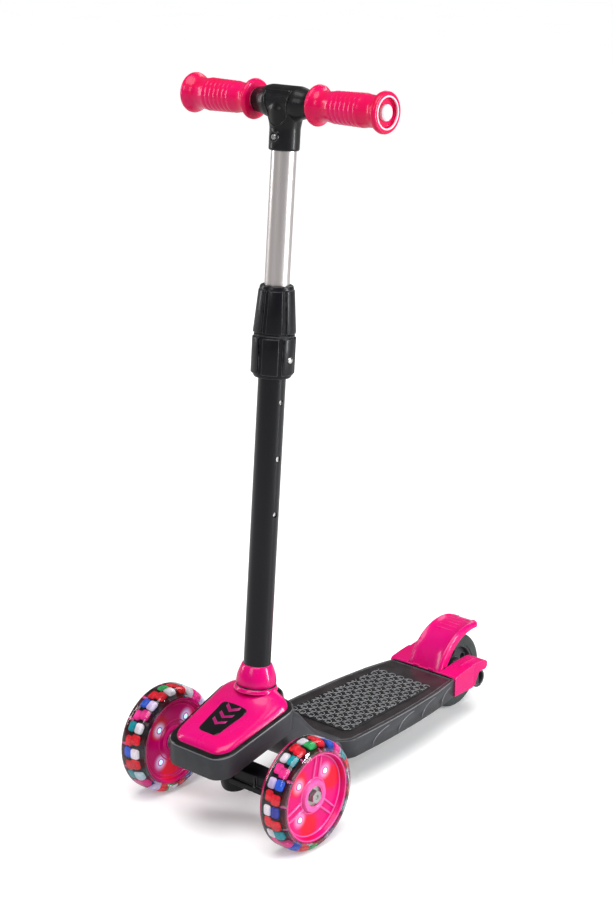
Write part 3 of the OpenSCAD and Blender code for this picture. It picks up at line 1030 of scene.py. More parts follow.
@dataclass(frozen=True)
class Tinted(Finish):
    """Plastic that takes its colour from the piece's own colour attribute."""

    name: str
    glow: float = 0.35
    rough: float = 0.18

    def make(self) -> bpy.types.Material:
        """Build the material.

        Returns:
            The material.
        """
        net, shader, material = self.open(self.name)
        tint = net.add("Attribute", attribute_name="tint")
        grain = self.effect(net, Effect.GRAIN, scale=600.0, patch=90.0)
        deep = net.mix(0.35, tint.outputs["Color"], (0.0, 0.0, 0.0))
        base = net.mix(grain.outputs["Tone"], tint.outputs["Color"], deep)
        net.put(shader.inputs["Base Color"], base)
        net.put(shader.inputs["Roughness"],
                net.math("MULTIPLY_ADD", grain.outputs["Tone"], 0.1, self.rough))
        # Emission in the piece's own colour: light of a lamp for the wheel lights, a painted glow
        # for the lugs, which are no lamps.
        net.put(shader.inputs["Emission Color"], base)
        shader.inputs["Emission Strength"].default_value = self.glow
        self.bump(net, shader, grain.outputs["Height"], 0.00002)
        return material


class Finishes:
    """Every finish of the scooter, built once."""

    def __init__(self) -> None:
        """Build the materials."""
        # The light pinks and greys given for the edges, with the edge mask, paint highlights
        # along the edges as well as scuffing.
        light = (0.9, 0.3, 0.55)
        scuffed_and_lit_grey = (0.14, 0.14, 0.15)
        self.pink = Plastic("pink moulding", (0.69, 0.0, 0.14), (0.64, 0.0, 0.16), light, 0.22,
                            0.35, 900.0, 0.00001, 0.01, 0.35, gloss=0.15).make()
        # The disc and the ribs glow faintly in their own colour though they are no lamps: a
        # painted glow.
        self.disc = Halo("wheel disc", (0.7, 0.0, 0.18), (0.68, 0.0, 0.15), light, 0.28,
                         0.2, 900.0, 0.00001, 0.01, 0.3, 0.06, gloss=0.15).make()
        self.rib = Plastic("wheel ribs", (0.86, 0.12, 0.42), (0.85, 0.09, 0.36), light, 0.25,
                           0.3, 900.0, 0.00001, 0.01, 0.3, 0.06, gloss=0.2).make()
        self.grip = Plastic("grip rubber", (0.8, 0.002, 0.12), (0.76, 0.0, 0.06),
                            (0.95, 0.16, 0.4), 0.28, 0.3, 1100.0, 0.00002, 0.01, 0.45,
                            gloss=0.15).make()
        self.pale = Plastic("pale plug", (0.86, 0.82, 0.85), (0.78, 0.73, 0.78),
                            (0.6, 0.55, 0.58), 0.25, 0.3, 1200.0, 0.00001, 0.04, 0.4).make()
        self.grey = Plastic("grey moulding", (0.05, 0.052, 0.058), (0.035, 0.036, 0.042),
                            (0.24, 0.24, 0.25), 0.36, 0.12, 1500.0, 0.00004, 0.03, 0.8).make()
        self.deck = Plastic("deck top", (0.017, 0.0125, 0.0145), (0.011, 0.008, 0.009), scuffed_and_lit_grey,
                            0.3, 0.25, 1300.0, 0.00005, 0.03, 0.7).make()
        self.rim = Plastic("box rim", (0.005, 0.0055, 0.006), (0.004, 0.004, 0.004),
                           (0.26, 0.27, 0.28), 0.25, 0.3, 1500.0, 0.00003, 0.02, 1.0).make()
        self.black = Plastic("black moulding", (0.0045, 0.0045, 0.008), (0.0025, 0.0025, 0.004),
                             (0.16, 0.16, 0.17), 0.3, 0.12, 1400.0, 0.00008, 0.02,
                             0.9).make()
        self.joint = Plastic("grained black", (0.007, 0.007, 0.009), (0.004, 0.004, 0.005),
                             (0.16, 0.16, 0.17), 0.28, 0.15, 850.0, 0.00012, 0.02, 0.8).make()
        self.seam = Plastic("gloss seam", (0.004, 0.004, 0.005), (0.006, 0.006, 0.007),
                            (0.1, 0.1, 0.1), 0.16, 0.4, 1400.0, 0.00001, 0.0, 0.2).make()
        self.tube = Plastic("powder coat", (0.0025, 0.0025, 0.006), (0.0015, 0.0015, 0.003),
                            (0.08, 0.08, 0.1), 0.17, 0.25, 2600.0, 0.00002, 0.004, 0.3,
                            gloss=0.25).make()
        self.tyre = Plastic("rear tyre", (0.06, 0.072, 0.07), (0.045, 0.053, 0.05),
                            (0.14, 0.14, 0.14), 0.45, 0.0, 1100.0, 0.00006, 0.06, 0.5).make()
        self.window = Plastic("wheel window", (0.1, 0.012, 0.022), (0.03, 0.002, 0.006),
                              (0.3, 0.02, 0.05), 0.15, 0.5, 900.0, 0.00001, 0.0, 0.2).make()
        self.cushion = Plastic("steering cushion", (0.012, 0.012, 0.013),
                               (0.02, 0.02, 0.02), (0.08, 0.08, 0.08), 0.6, 0.0, 900.0,
                               0.00006, 0.05, 0.3).make()
        self.mat = Plastic("mat rubber", (0.004, 0.004, 0.0045), (0.008, 0.008, 0.009), scuffed_and_lit_grey,
                           0.5, 0.0, 1800.0, 0.00008, 0.02, 0.3, gloss=0.2).make()
        self.mark = Plastic("badge mark", (0.36, 0.005, 0.12), (0.3, 0.004, 0.1), light, 0.3,
                            0.1, 900.0, 0.00001, 0.0, 0.1, gloss=0.15).make()
        self.hoop = Plastic("mat hoops", (0.25, 0.25, 0.26), (0.18, 0.18, 0.19),
                            (0.3, 0.3, 0.3), 0.45, 0.0, 1800.0, 0.00004, 0.02, 0.4).make()
        # The light edge grey is a painted highlight, on the box's upper edge and the deck's
        # lines.
        self.edge = Plastic("painted highlight edge", (0.17, 0.17, 0.18), (0.11, 0.11, 0.12),
                            (0.3, 0.3, 0.3), 0.3, 0.1, 1500.0, 0.00003, 0.02, 0.4).make()
        self.clear = Clear().make()
        # The lugs' glow is painted: they are coloured plastic, no lamps.
        self.lugs = Tinted("coloured lugs").make()
        self.led = Tinted("wheel light", 1.6, 0.1).make()
        self.zinc = Metal("zinc plate", (0.62, 0.62, 0.6), (0.42, 0.42, 0.43), 0.28).make()
        self.bright = Metal("polished steel", (0.78, 0.78, 0.76), (0.55, 0.55, 0.53),
                            0.12).make()
        self.aluminium = Metal("drawn aluminium", (0.72, 0.68, 0.67), (0.6, 0.56, 0.55), 0.3,
                               1.0).make()


# ---------------------------------------------------------------- front box and bell


def plate(corners: Sequence[tuple[float, float]], low: float, high: float,
          radii: dict[float, Sequence[int]] | None = None) -> Shape:
    """An outline drawn in y and z, raised along x.

    Args:
        corners: (y, z) corners, anticlockwise seen from +x.
        low: x of the near face.
        high: x of the far face.
        radii: corner radius to corner numbers.

    Returns:
        The plate.
    """
    upright = Matrix(((0, 0, 1, low), (1, 0, 0, 0), (0, 1, 0, 0), (0, 0, 0, 1)))
    return Shape.slab(corners, high - low, radii).moved(upright)


def dome(corners: Sequence[tuple[float, float]], radii: dict[float, Sequence[int]],
         centre: tuple[float, float], height: Callable[[float, float], float],
         edge: Sequence[tuple[float, float]], depth: float) -> Shape:
    """A crowned plate over an outline.

    Args:
        corners: outline corners, anticlockwise.
        radii: corner radius to corner numbers.
        centre: the point the rings shrink to.
        height: crown height at full strength, from x and y.
        edge: rows of (share of the outline's size, share of the crown height).
        depth: thickness below the outline.

    Returns:
        The crowned plate, with its outline at z = 0.
    """
    shape = Shape.slab(corners, depth, radii, 10)
    bm = shape.bm
    long_edges = [e for e in bm.edges if e.calc_length() > 9 and abs(
        e.verts[0].co.z - e.verts[1].co.z) < 0.01]
    bmesh.ops.subdivide_edges(bm, edges=long_edges, cuts=7)
    middle = Matrix.Translation((-centre[0], -centre[1], 0))
    face = max((f for f in bm.faces if f.normal.z > 0.9), key=lambda f: f.calc_area())
    size = 1.0
    for share, lift in edge:
        bmesh.ops.inset_region(bm, faces=[face], thickness=0.001)
        bmesh.ops.scale(bm, vec=(share / size, share / size, 1), space=middle,
                        verts=face.verts)
        for v in face.verts:
            v.co.z = depth + height(v.co.x, v.co.y) * lift
        size = share
    hub = bmesh.ops.poke(bm, faces=[face])["verts"][0]
    hub.co.z = depth + height(hub.co.x, hub.co.y)
    bmesh.ops.translate(bm, verts=bm.verts, vec=(0, 0, -depth))
    return shape


@dataclass
class Assembly:
    """A sub-assembly, with the places and the finishes that it is made with."""

    layout: Layout
    finish: Finishes

    body: ClassVar[Body] = Body.FRAME

    @property
    def place(self) -> Matrix:
        """Where its pieces go, unless they say otherwise: on the floor under the front axle."""
        return self.layout.at_axle()

    def put(self, name: str, shape: Shape, slot: Slot, materials: Sequence[bpy.types.Material],
            stands_for: Iterable[str] = (), smooth: float = 40.0, place: Matrix | None = None,
            body: Body | None = None) -> bpy.types.Object:
        """Make a finished piece.

        Args:
            name: the piece's name.
            shape: its shape in millimetres, which is used up.
            slot: the record's material slot; not used.
            materials: its materials, in the order of the faces' numbers.
            stands_for: the mechanical nodes that it replaces.
            smooth: edges sharper than this many degrees stay sharp.
            place: where it goes, in metres, if not with the rest.
            body: the body that carries it, if not the usual one.

        Returns:
            The new object.
        """
        rider = body or self.body
        shape.moved((self.place if place is None else place) @ Matrix.Scale(MM, 4))
        obj = shape.as_object(name)
        mesh = obj.data
        mesh.polygons.foreach_set("use_smooth", [True] * len(mesh.polygons))
        mesh.set_sharp_from_angle(angle=math.radians(smooth))
        for material in materials:
            mesh.materials.append(material)
        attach(obj, rider.value)
        if stands_for:
            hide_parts(*stands_for)
        LOG.info("%s: %d faces on %s", name, len(mesh.polygons), rider.value)
        return obj


@dataclass
class FrontBox(Assembly):
    """The grey box over the truck, its crowned pink cover, the badge and the bell."""

    rim_z: float = 116.0
    drop: float = 25.0
    slope: float = 0.27
    crown: float = 8.5
    stem_y: float = 34.5
    ring_s: float = 139.5
    bell_s: float = 143.5

    def shear(self) -> Matrix:
        """Tilts a flat shape up towards the rear.

        Returns:
            The matrix.
        """
        tilt = Matrix.Identity(4)
        tilt[2][1] = self.slope
        return tilt

    def height(self, x: float, y: float) -> float:
        """Height of the cover above its sloping rim.

        Args:
            x: distance from the middle.
            y: distance behind the front axle.

        Returns:
            The height.
        """
        crown = self.crown * (1 - (x / 74) ** 2) * (1 - max(0.0, -y - 20) / 170)
        away = math.hypot(x * 0.86, y - self.stem_y) - 22
        flare = max(0.0, 1 - max(0.0, away) / 27) ** 2
        return crown + 6.6 * flare

    def build(self) -> None:
        """Make and dress every piece of the box."""
        finish = self.finish
        tilt = self.place @ Matrix.Scale(MM, 4) @ Matrix.Translation((0, 0, self.rim_z)) \
            @ self.shear() @ Matrix.Scale(1 / MM, 4)
        outline = [(-43.5, -65.5), (43.5, -65.5), (53, 45.5), (27, 51), (17, 62.5),
                   (-17, 62.5), (-27, 51), (-53, 45.5)]
        box = Shape.slab(outline, self.drop, {19: (0, 1), 14: (2, 7), 9: (4, 5), 4: (3, 6)})
        box.shifted(z=-self.drop)
        box.round_edges(2.6, 50, 4, lambda e: all(v.co.z > -1 for v in e.verts))
        box.round_edges(1.2, 50, 2, lambda e: all(v.co.z < -self.drop + 1 for v in e.verts))
        box.paint(1, lambda f: f.normal.z > 0.8)
        # A thin band on the rounded upper edge takes the light edge grey: a painted highlight
        # line.
        box.paint(2, lambda f: 0.45 < f.normal.z < 0.8)
        self.put("front_box", box, Slot.GREY, [finish.grey, finish.rim, finish.edge],
                 ("box_housing",), place=tilt)
        edge = ((0.995, 0.18), (0.985, 0.4), (0.965, 0.64), (0.93, 0.84), (0.88, 0.95),
                (0.8, 1.0), (0.7, 1.0), (0.6, 1.0), (0.5, 1.0), (0.4, 1.0), (0.3, 1.0),
                (0.18, 1.0), (0.08, 1.0))
        inner = [(-37.5, -59), (37.5, -59), (47, 42), (22, 45.5), (14, 55.5), (-14, 55.5),
                 (-22, 45.5), (-47, 42)]
        cover = dome(inner, {16: (0, 1), 12: (2, 7), 8: (4, 5), 4: (3, 6)}, (0, 0),
                     self.height, edge, 1.2)
        self.put("box_cover", cover, Slot.PINK, [finish.pink], ("cover_plate",), 55, place=tilt)
        self.badge(tilt)
        self.bell()

    def badge(self, tilt: Matrix) -> None:
        """The black badge, with three plain chevrons.

        Args:
            tilt: the box's placement matrix.
        """
        finish = self.finish
        outline = [(-13.5, -43), (13.5, -43), (19, 3), (-19, 3)]
        edge = ((0.99, 1.0), (0.9, 1.0), (0.75, 1.0), (0.6, 1.0), (0.4, 1.0), (0.2, 1.0))
        badge = dome(outline, {5: (0, 1, 2, 3)}, (0, -20), lambda x, y: 0.25, edge, 1.0)
        badge.lift(lambda x, y: self.height(x, y) + 0.35)
        self.put("badge_plate", badge, Slot.BLACK, [finish.seam], ("badge",), 50, place=tilt)
        marks = Shape()
        for y in (-30.0, -19.0, -8.0):
            mark = Shape.slab([(0, y), (9.5, y + 6), (9.5, y + 10), (0, y + 4), (-9.5, y + 10),
                               (-9.5, y + 6)], 0.4)
            mark.split((0, 0, 0), (1, 0, 0))
            marks.add(mark)
        marks.round_edges(0.15, 50, 2)
        marks.lift(lambda x, y: self.height(x, y) + 0.5)
        self.put("badge_chevrons", marks, Slot.PINK, [finish.mark], place=tilt)

    def bell(self) -> None:
        """The black ring and the bell-shaped collar round the tube."""
        finish, layout = self.finish, self.layout
        ring = Shape.lathe(ring_profile(15.2, 22.3, 2.7, 3.9)).round_edges(0.4, 40, 3)
        lip = Shape.lathe([(15.2, -1.5), (24.2, -1.5), (23.6, 0.6), (22.9, 1.8), (22.2, 2.5),
                           (21.4, 2.7), (15.2, 2.7)])
        lip.paint(1, lambda f: True)
        self.put("bell_ring", ring.add(lip), Slot.BLACK, [finish.seam, finish.pink],
                 ("collar_ring",), 50, place=layout.on_stem(self.ring_s))
        profile = [(15.2, 0.1), (21.6, 0.1), (22.15, 0.8), (22.2, 3), (21.9, 6.5), (21.2, 10),
                   (20.2, 13.4), (19.0, 16.6), (17.8, 19.4), (16.9, 21.4), (16.3, 22.2),
                   (15.2, 22.5)]
        bell = Shape.lathe(profile, 128)
        self.put("bell_cap", bell, Slot.PINK, [finish.pink], ("bell_collar",), 60,
                 place=layout.on_stem(self.bell_s))


# ---------------------------------------------------------------- deck


@dataclass
class Deck(Assembly):
    """The standing deck with its neck, fork arms, mat and pink tail cover."""

    top: float = 62.0
    low: float = 40.5
    rear: float = 337.0
    base: float = 391.0
    axle_z: float = 46.0
    arm_in: float = 16.5
    arm_out: float = 44.0
    outline: tuple[tuple[float, float], ...] = (
        (-62.5, 112), (62.5, 112), (62.5, 184), (60.3, 240), (55.5, 295), (47.5, 337),
        (-47.5, 337), (-55.5, 295), (-60.3, 240), (-62.5, 184))

    def half_width(self, y: float) -> float:
        """Half of the deck's width at a distance behind the front axle.

        Args:
            y: the distance.

        Returns:
            Half of the width.
        """
        points = sorted((py, px) for px, py in self.outline if px > 0)[1:]
        for (y0, x0), (y1, x1) in zip(points, points[1:]):
            if y <= y1:
                return x0 + (x1 - x0) * max(0.0, y - y0) / (y1 - y0)
        return points[-1][1]

    def build(self) -> None:
        """Make and dress every piece of the deck."""
        self.shell()
        self.neck()
        self.arms()
        self.wall_lines()
        self.mat()
        self.tail()

    def shell(self) -> None:
        """The tray-shaped moulding, open below, with its ribs."""
        finish = self.finish
        tray = Shape.slab(self.outline, self.top - self.low,
                          {24: (0, 1), 22: (2, 3, 4, 7, 8, 9)}, 10).shifted(z=self.low)
        bm = tray.bm
        face = max((f for f in bm.faces if f.normal.z > 0.9), key=lambda f: f.calc_area())
        for thickness, drop in ((2.2, 0.0), (0.5, -0.7), (2.6, 0.0), (0.5, 0.55)):
            bmesh.ops.inset_region(bm, faces=[face], thickness=thickness, depth=0.0)
            bmesh.ops.translate(bm, verts=face.verts, vec=(0, 0, drop))
        under = [f for f in bm.faces if f.normal.z < -0.9]
        bmesh.ops.delete(bm, geom=under, context="FACES")
        tray.round_edges(1.6, 60, 4, lambda e: all(v.co.z > self.top - 0.1 for v in e.verts)
                         and any(f.normal.z < 0.3 for f in e.link_faces))
        tray.paint(1, lambda f: f.normal.z > 0.86)
        obj = self.put("deck_tray", tray, Slot.GREY, [finish.grey, finish.deck], ("deck_shell",),
                       30)
        wall = obj.modifiers.new("wall", "SOLIDIFY")
        wall.thickness = 3 * MM
        wall.offset = -1
        ribs = Shape()
        for y in (165, 205, 245, 285):
            wide = self.half_width(y) - 2
            ribs.add(Shape.box((-wide, y, self.low + 0.5), (wide, y + 2.4, self.top - 2)))
        for x in (-28, 0, 28):
            ribs.add(Shape.box((x - 1.2, 116, self.low + 0.5), (x + 1.2, 333, self.top - 2)))
        ribs.round_edges(0.5, 60, 2)
        self.put("deck_ribs", ribs, Slot.GREY, [finish.grey])

    @staticmethod
    def section(top: tuple[float, float], bottom: tuple[float, float], half: float,
                corner: float) -> list[Vector]:
        """A rounded rectangle across the neck.

        Args:
            top: (y, z) of its upper edge.
            bottom: (y, z) of its lower edge.
            half: half of its width.
            corner: radius of its corners.

        Returns:
            The section's points.
        """
        up = Vector((0, top[0] - bottom[0], top[1] - bottom[1]))
        tall = up.length / 2
        up.normalize()
        middle = Vector((0, (top[0] + bottom[0]) / 2, (top[1] + bottom[1]) / 2))
        points = []
        for sx, sy, start in ((1, -1, 270), (1, 1, 0), (-1, 1, 90), (-1, -1, 180)):
            for k in range(6):
                a = math.radians(start + 18 * k)
                x = sx * (half - corner) + corner * math.cos(a)
                v = sy * (tall - corner) + corner * math.sin(a)
                points.append(middle + Vector((x, 0, 0)) + up * v)
        return points

    def neck(self) -> None:
        """The broad neck that rises from the deck to the underside of the box."""
        rows = (((132, 61.6), (128, 41.0), 58, 5), ((121, 61.9), (104, 40.8), 54, 6),
                ((112, 65), (90, 41.2), 49, 7), ((103, 70.5), (79, 43.5), 45, 7.5),
                ((95, 77.5), (68, 48.5), 42, 8), ((87, 86), (59, 57), 39.5, 8),
                ((79, 95.5), (51, 66), 37.5, 8), ((72, 104), (45, 77), 36, 8),
                ((62, 109.5), (40, 88), 35, 7), ((48, 113), (24, 93), 34, 6))
        neck = Shape.loft([self.section(*row) for row in rows])
        self.put("deck_neck", neck, Slot.GREY, [self.finish.grey], smooth=60)

    def arms(self) -> None:
        """The fork arms and their axle bosses beside the rear wheel."""
        b = self.base
        side = [(b - 72, self.low + 0.5), (b - 19, self.low + 0.5), (b - 11, self.axle_z - 9),
                (b + 2, self.axle_z - 10), (b + 2, self.axle_z + 10), (b - 11, self.top - 1.5),
                (b - 72, self.top - 1.5)]
        arms = Shape()
        for low, high in ((self.arm_in, self.arm_out), (-self.arm_out, -self.arm_in)):
            arm = plate(side, low, high, {4: (1, 2, 5)})
            arms.add(arm.round_edges(1.0, 50, 2))
        boss = Shape.lathe([(8.2, self.arm_in + 10), (11.5, self.arm_in + 10),
                            (11.5, self.arm_out + 0.4), (10.6, self.arm_out + 1.4),
                            (8.6, self.arm_out + 1.4), (8.2, self.arm_out + 0.6)], 64)
        arms.add(boss.turned(90, "Y").shifted(y=b, z=self.axle_z).mirrored())
        self.put("fork_arms", arms, Slot.GREY, [self.finish.grey])

    def wall_lines(self) -> None:
        """The curved raised lines on the deck's side walls and a bead along its top edge, in a
        light grey that paints their highlights.
        """
        lines = Shape()
        for start, reach, rise in ((163, 31, 15.2), (212, 31, 15.4), (259.5, 29, 15.6),
                                   (304, 24, 13.5)):
            points = []
            for k in range(13):
                a = math.radians(90 * k / 12)
                y = start + reach * (1 - math.cos(a))
                points.append(Vector((self.half_width(y) - 0.05, y,
                                      self.low + 1.8 + rise * math.sin(a))))
            lines.add(bead(points, 0.6))
        # The bead along the deck's top edge is there for its light grey: a painted highlight
        # line.
        rim = [Vector((self.half_width(y) - 0.45, y, self.top - 0.45))
               for y in (136, 150, 165, 184, 200, 220, 240, 260, 280, 295, 310, 325, 334)]
        lines.add(bead(rim, 0.5))
        self.put("wall_lines", lines.mirrored(), Slot.GREY, [self.finish.edge], smooth=60)

    def mat(self) -> None:
        """The rubber mat let into the deck."""
        outline = [(-45.5, 139), (45.5, 139), (40.5, 303), (-40.5, 303)]
        mat = Shape.slab(outline, 1.7, {12: (0, 1, 2, 3)}).shifted(z=self.top - 0.8)
        mat.round_edges(0.5, 50, 3, lambda e: all(v.co.z > self.top for v in e.verts))
        self.put("hoop_mat", mat, Slot.MAT, [self.finish.mat], ("deck_mat",))
        self.hoops()

    def hoops(self) -> None:
        """Rows of raised open hoops that hook into each other."""
        hoops = Shape()
        for row in range(15):
            y = 145.7 + 10.75 * row
            for col in range(-4, 5):
                x = col * 12.9 + (3.2 if row % 2 else -3.2)
                for radius, sweep, middle in ((5.2, 250, 65), (2.5, 225, 245)):
                    hoop = self.hoop(radius, sweep).turned(middle - sweep / 2, "Z")
                    hoops.add(hoop.shifted(x=x, y=y, z=self.top + 0.85))
        for side in (-1, 1):
            rims = hoops.split((side * 43.9, 139, 0), (side * 164, 5, 0), True)
            bmesh.ops.holes_fill(hoops.bm, sides=0, edges=rims)
        self.put("mat_hoops", hoops, Slot.MAT, [self.finish.hoop], smooth=60)

    @staticmethod
    def hoop(radius: float, sweep: float) -> Shape:
        """An open hoop with a small three-sided section."""
        section = [(radius - 0.42, 0.0, 0.0), (radius + 0.42, 0.0, 0.0), (radius, 0.0, 0.6)]
        return Shape.swept(section, (0, 0, 1), sweep, 9)

    def tail(self) -> None:
        """The pink cover over the fork arms, with its slot for the wheel and fender."""
        b, finish = self.base, self.finish
        profile = [(self.rear + 0.3, self.low), (b - 14, self.low), (b - 12, self.low + 1),
                   (b - 8, 50), (b - 4, 57), (b + 8, 57), (b + 11.5, 60), (b + 11.5, 65),
                   (b + 9, 68), (b + 3, 69.5), (b - 19, 69), (b - 40, 66.5),
                   (self.rear + 2.5, 64.4), (self.rear + 0.3, 62.3)]
        block = plate(profile, -49.3, 49.3, {2.4: (3, 4, 8, 9), 8: (10, 11)})
        slot = Shape.box((-24.7, b - 51.7, 0), (24.7, b + 40, 100))
        block = carve(block, slot)
        for low, high in (((-45.8, self.rear - 5, 0), (45.8, self.rear + 50, self.top - 1.2)),
                          ((-45.8, b - 12, 0), (45.8, b + 9, self.top - 1.2))):
            block = carve(block, Shape.box(low, high))
        for s in (1, -1):
            wedge = plate([(b - 12, 0), (b + 14, 0), (b + 14, 100), (b - 12, 100)],
                          47.4, 60).turned(-7, "Z").shifted(x=-46, y=3.5)
            if s < 0:
                wedge.moved(FLIP)
            block = carve(block, wedge)
        obj = self.put("tail_shell", block, Slot.PINK, [finish.pink], ("tail_cover",), 30)
        soften(obj, 2.4, 4)
        points = [Vector((x, self.rear + 0.1, z)) for x, z in (
            (-47.3, 42.5), (-47.3, 58), (-46.6, 60.8), (-44.2, 62.4), (-30, 62.6), (0, 62.6),
            (30, 62.6), (44.2, 62.4), (46.6, 60.8), (47.3, 58), (47.3, 42.5))]
        gap = bead(points, 0.9, 10)
        self.put("tail_gap", gap, Slot.BLACK, [finish.seam], smooth=60)
        ribs = Shape()
        for s in (1, -1):
            points = [Vector((s * (35.5 + 0.4 * k), b - 28 + 4 * k,
                              66.4 + 0.45 * k - 0.028 * k * k)) for k in range(9)]
            ribs.add(bead(points, 2.6, 20))
        self.put("tail_ribs", ribs, Slot.PINK, [finish.pink], smooth=60)


# ---------------------------------------------------------------- foot brake


@dataclass
class FootBrake(Assembly):
    """The pink fender over the rear wheel, which is pressed down to brake."""

    body: ClassVar[Body] = Body.FENDER
    base: float = 391.0
    centre_z: float = 38.5
    radius: float = 67.0
    wall: float = 3.0
    half: float = 24.0
    start: float = 70.8
    end: float = 158.6
    pin_y: float = 339.5
    pin_z: float = 54.0

    def build(self) -> None:
        """Make and dress the fender."""
        half, wall, radius = self.half, self.wall, self.radius
        outer = [(-half, -11.5), (-half, -2.0), (-half + 0.7, -0.6), (-half + 2, 0.55),
                 (-half + 3.2, 0.95), (-half + 4.4, 0.6), (-half + 5.4, 0.1), (-10, 0.0),
                 (0, 0.0)]
        inner = [(-half + 4.2, -wall), (-half + 2.9, -wall - 0.9), (-half + 2.8, -11.5)]
        points = outer + [(-x, z) for x, z in reversed(outer[:-1])]
        points += [(-x, z) for x, z in reversed(inner)] + inner
        shape = Shape.swept([(x, radius + z, 0.0) for x, z in points], (1, 0, 0),
                            self.end - self.start, 64)
        self.taper(shape)
        shape.moved(Matrix.Translation((0, self.base + 11, self.centre_z))
                    @ Matrix.Rotation(math.radians(self.start), 4, "X"))
        shape = self.trim(shape)
        obj = self.put("foot_fender", shape, Slot.PINK, [self.finish.pink], ("brake_fender",), 32)
        soften(obj, 0.8)
        self.ribs()
        self.hinge()

    def taper(self, shape: Shape) -> None:
        """Thin the skirts towards the tip and round the tip's corners.

        Args:
            shape: the swept shell, with its tip at angle 0.
        """
        corner = 12.0
        for v in shape.bm.verts:
            sweep = math.atan2(v.co.z, v.co.y)
            radius = math.hypot(v.co.y, v.co.z)
            share = sweep / math.radians(self.end - self.start)
            if radius < self.radius - self.wall - 1.5:
                depth = self.wall + 0.4 + 8.1 * min(1.0, share * 1.25) ** 0.8
                v.co.y *= (self.radius - depth) / radius
                v.co.z *= (self.radius - depth) / radius
            short = corner - sweep * self.radius
            if short > 0:
                reach = self.half - corner + math.sqrt(max(0.0, corner ** 2 - short ** 2))
                v.co.x *= min(1.0, reach / self.half)

    def trim(self, shape: Shape) -> Shape:
        """Cut the shell above the deck and the skirts above the fork arms.

        Args:
            shape: the shell, which is used up.

        Returns:
            What is left of it.
        """
        root = Shape.box((-60, self.pin_y - 40, 0), (60, self.pin_y + 9, 62.7))
        shape = carve(shape, root)
        low = Shape.box((-60, self.pin_y + 8, 0), (60, self.base + 200, 66.8))
        return carve(shape, low)

    def ribs(self) -> None:
        """Fine transverse ribs near the tip."""
        ribs = Shape()
        for k in range(6):
            a = math.radians(78 + 6.2 * k)
            y = self.base + 11 + self.radius * math.cos(a)
            z = self.centre_z + self.radius * math.sin(a)
            points = [Vector((x, y, z - 0.12)) for x in (-12.5, -11, -5, 0, 5, 11, 12.5)]
            ribs.add(bead(points, 0.45, 10))
        self.put("fender_ribs", ribs, Slot.PINK, [self.finish.pink], smooth=60)

    def hinge(self) -> None:
        """The hinge barrels under the fender's root."""
        barrels = Shape()
        for low, high in ((6.9, 15.4), (-15.4, -6.9)):
            tube = Shape.lathe(ring_profile(2.6, 4.2, low, high), 48).round_edges(0.4, 40, 2)
            barrels.add(tube.turned(90, "Y").shifted(y=self.pin_y, z=self.pin_z))
            web = Shape.box((low + 0.1, self.pin_y - 1.4, self.pin_z + 3),
                            (high - 0.1, self.pin_y + 1.4, 65.5)).round_edges(0.3, 40, 2)
            barrels.add(web)
        self.put("fender_barrels", barrels, Slot.PINK, [self.finish.pink])


# ---------------------------------------------------------------- wheels


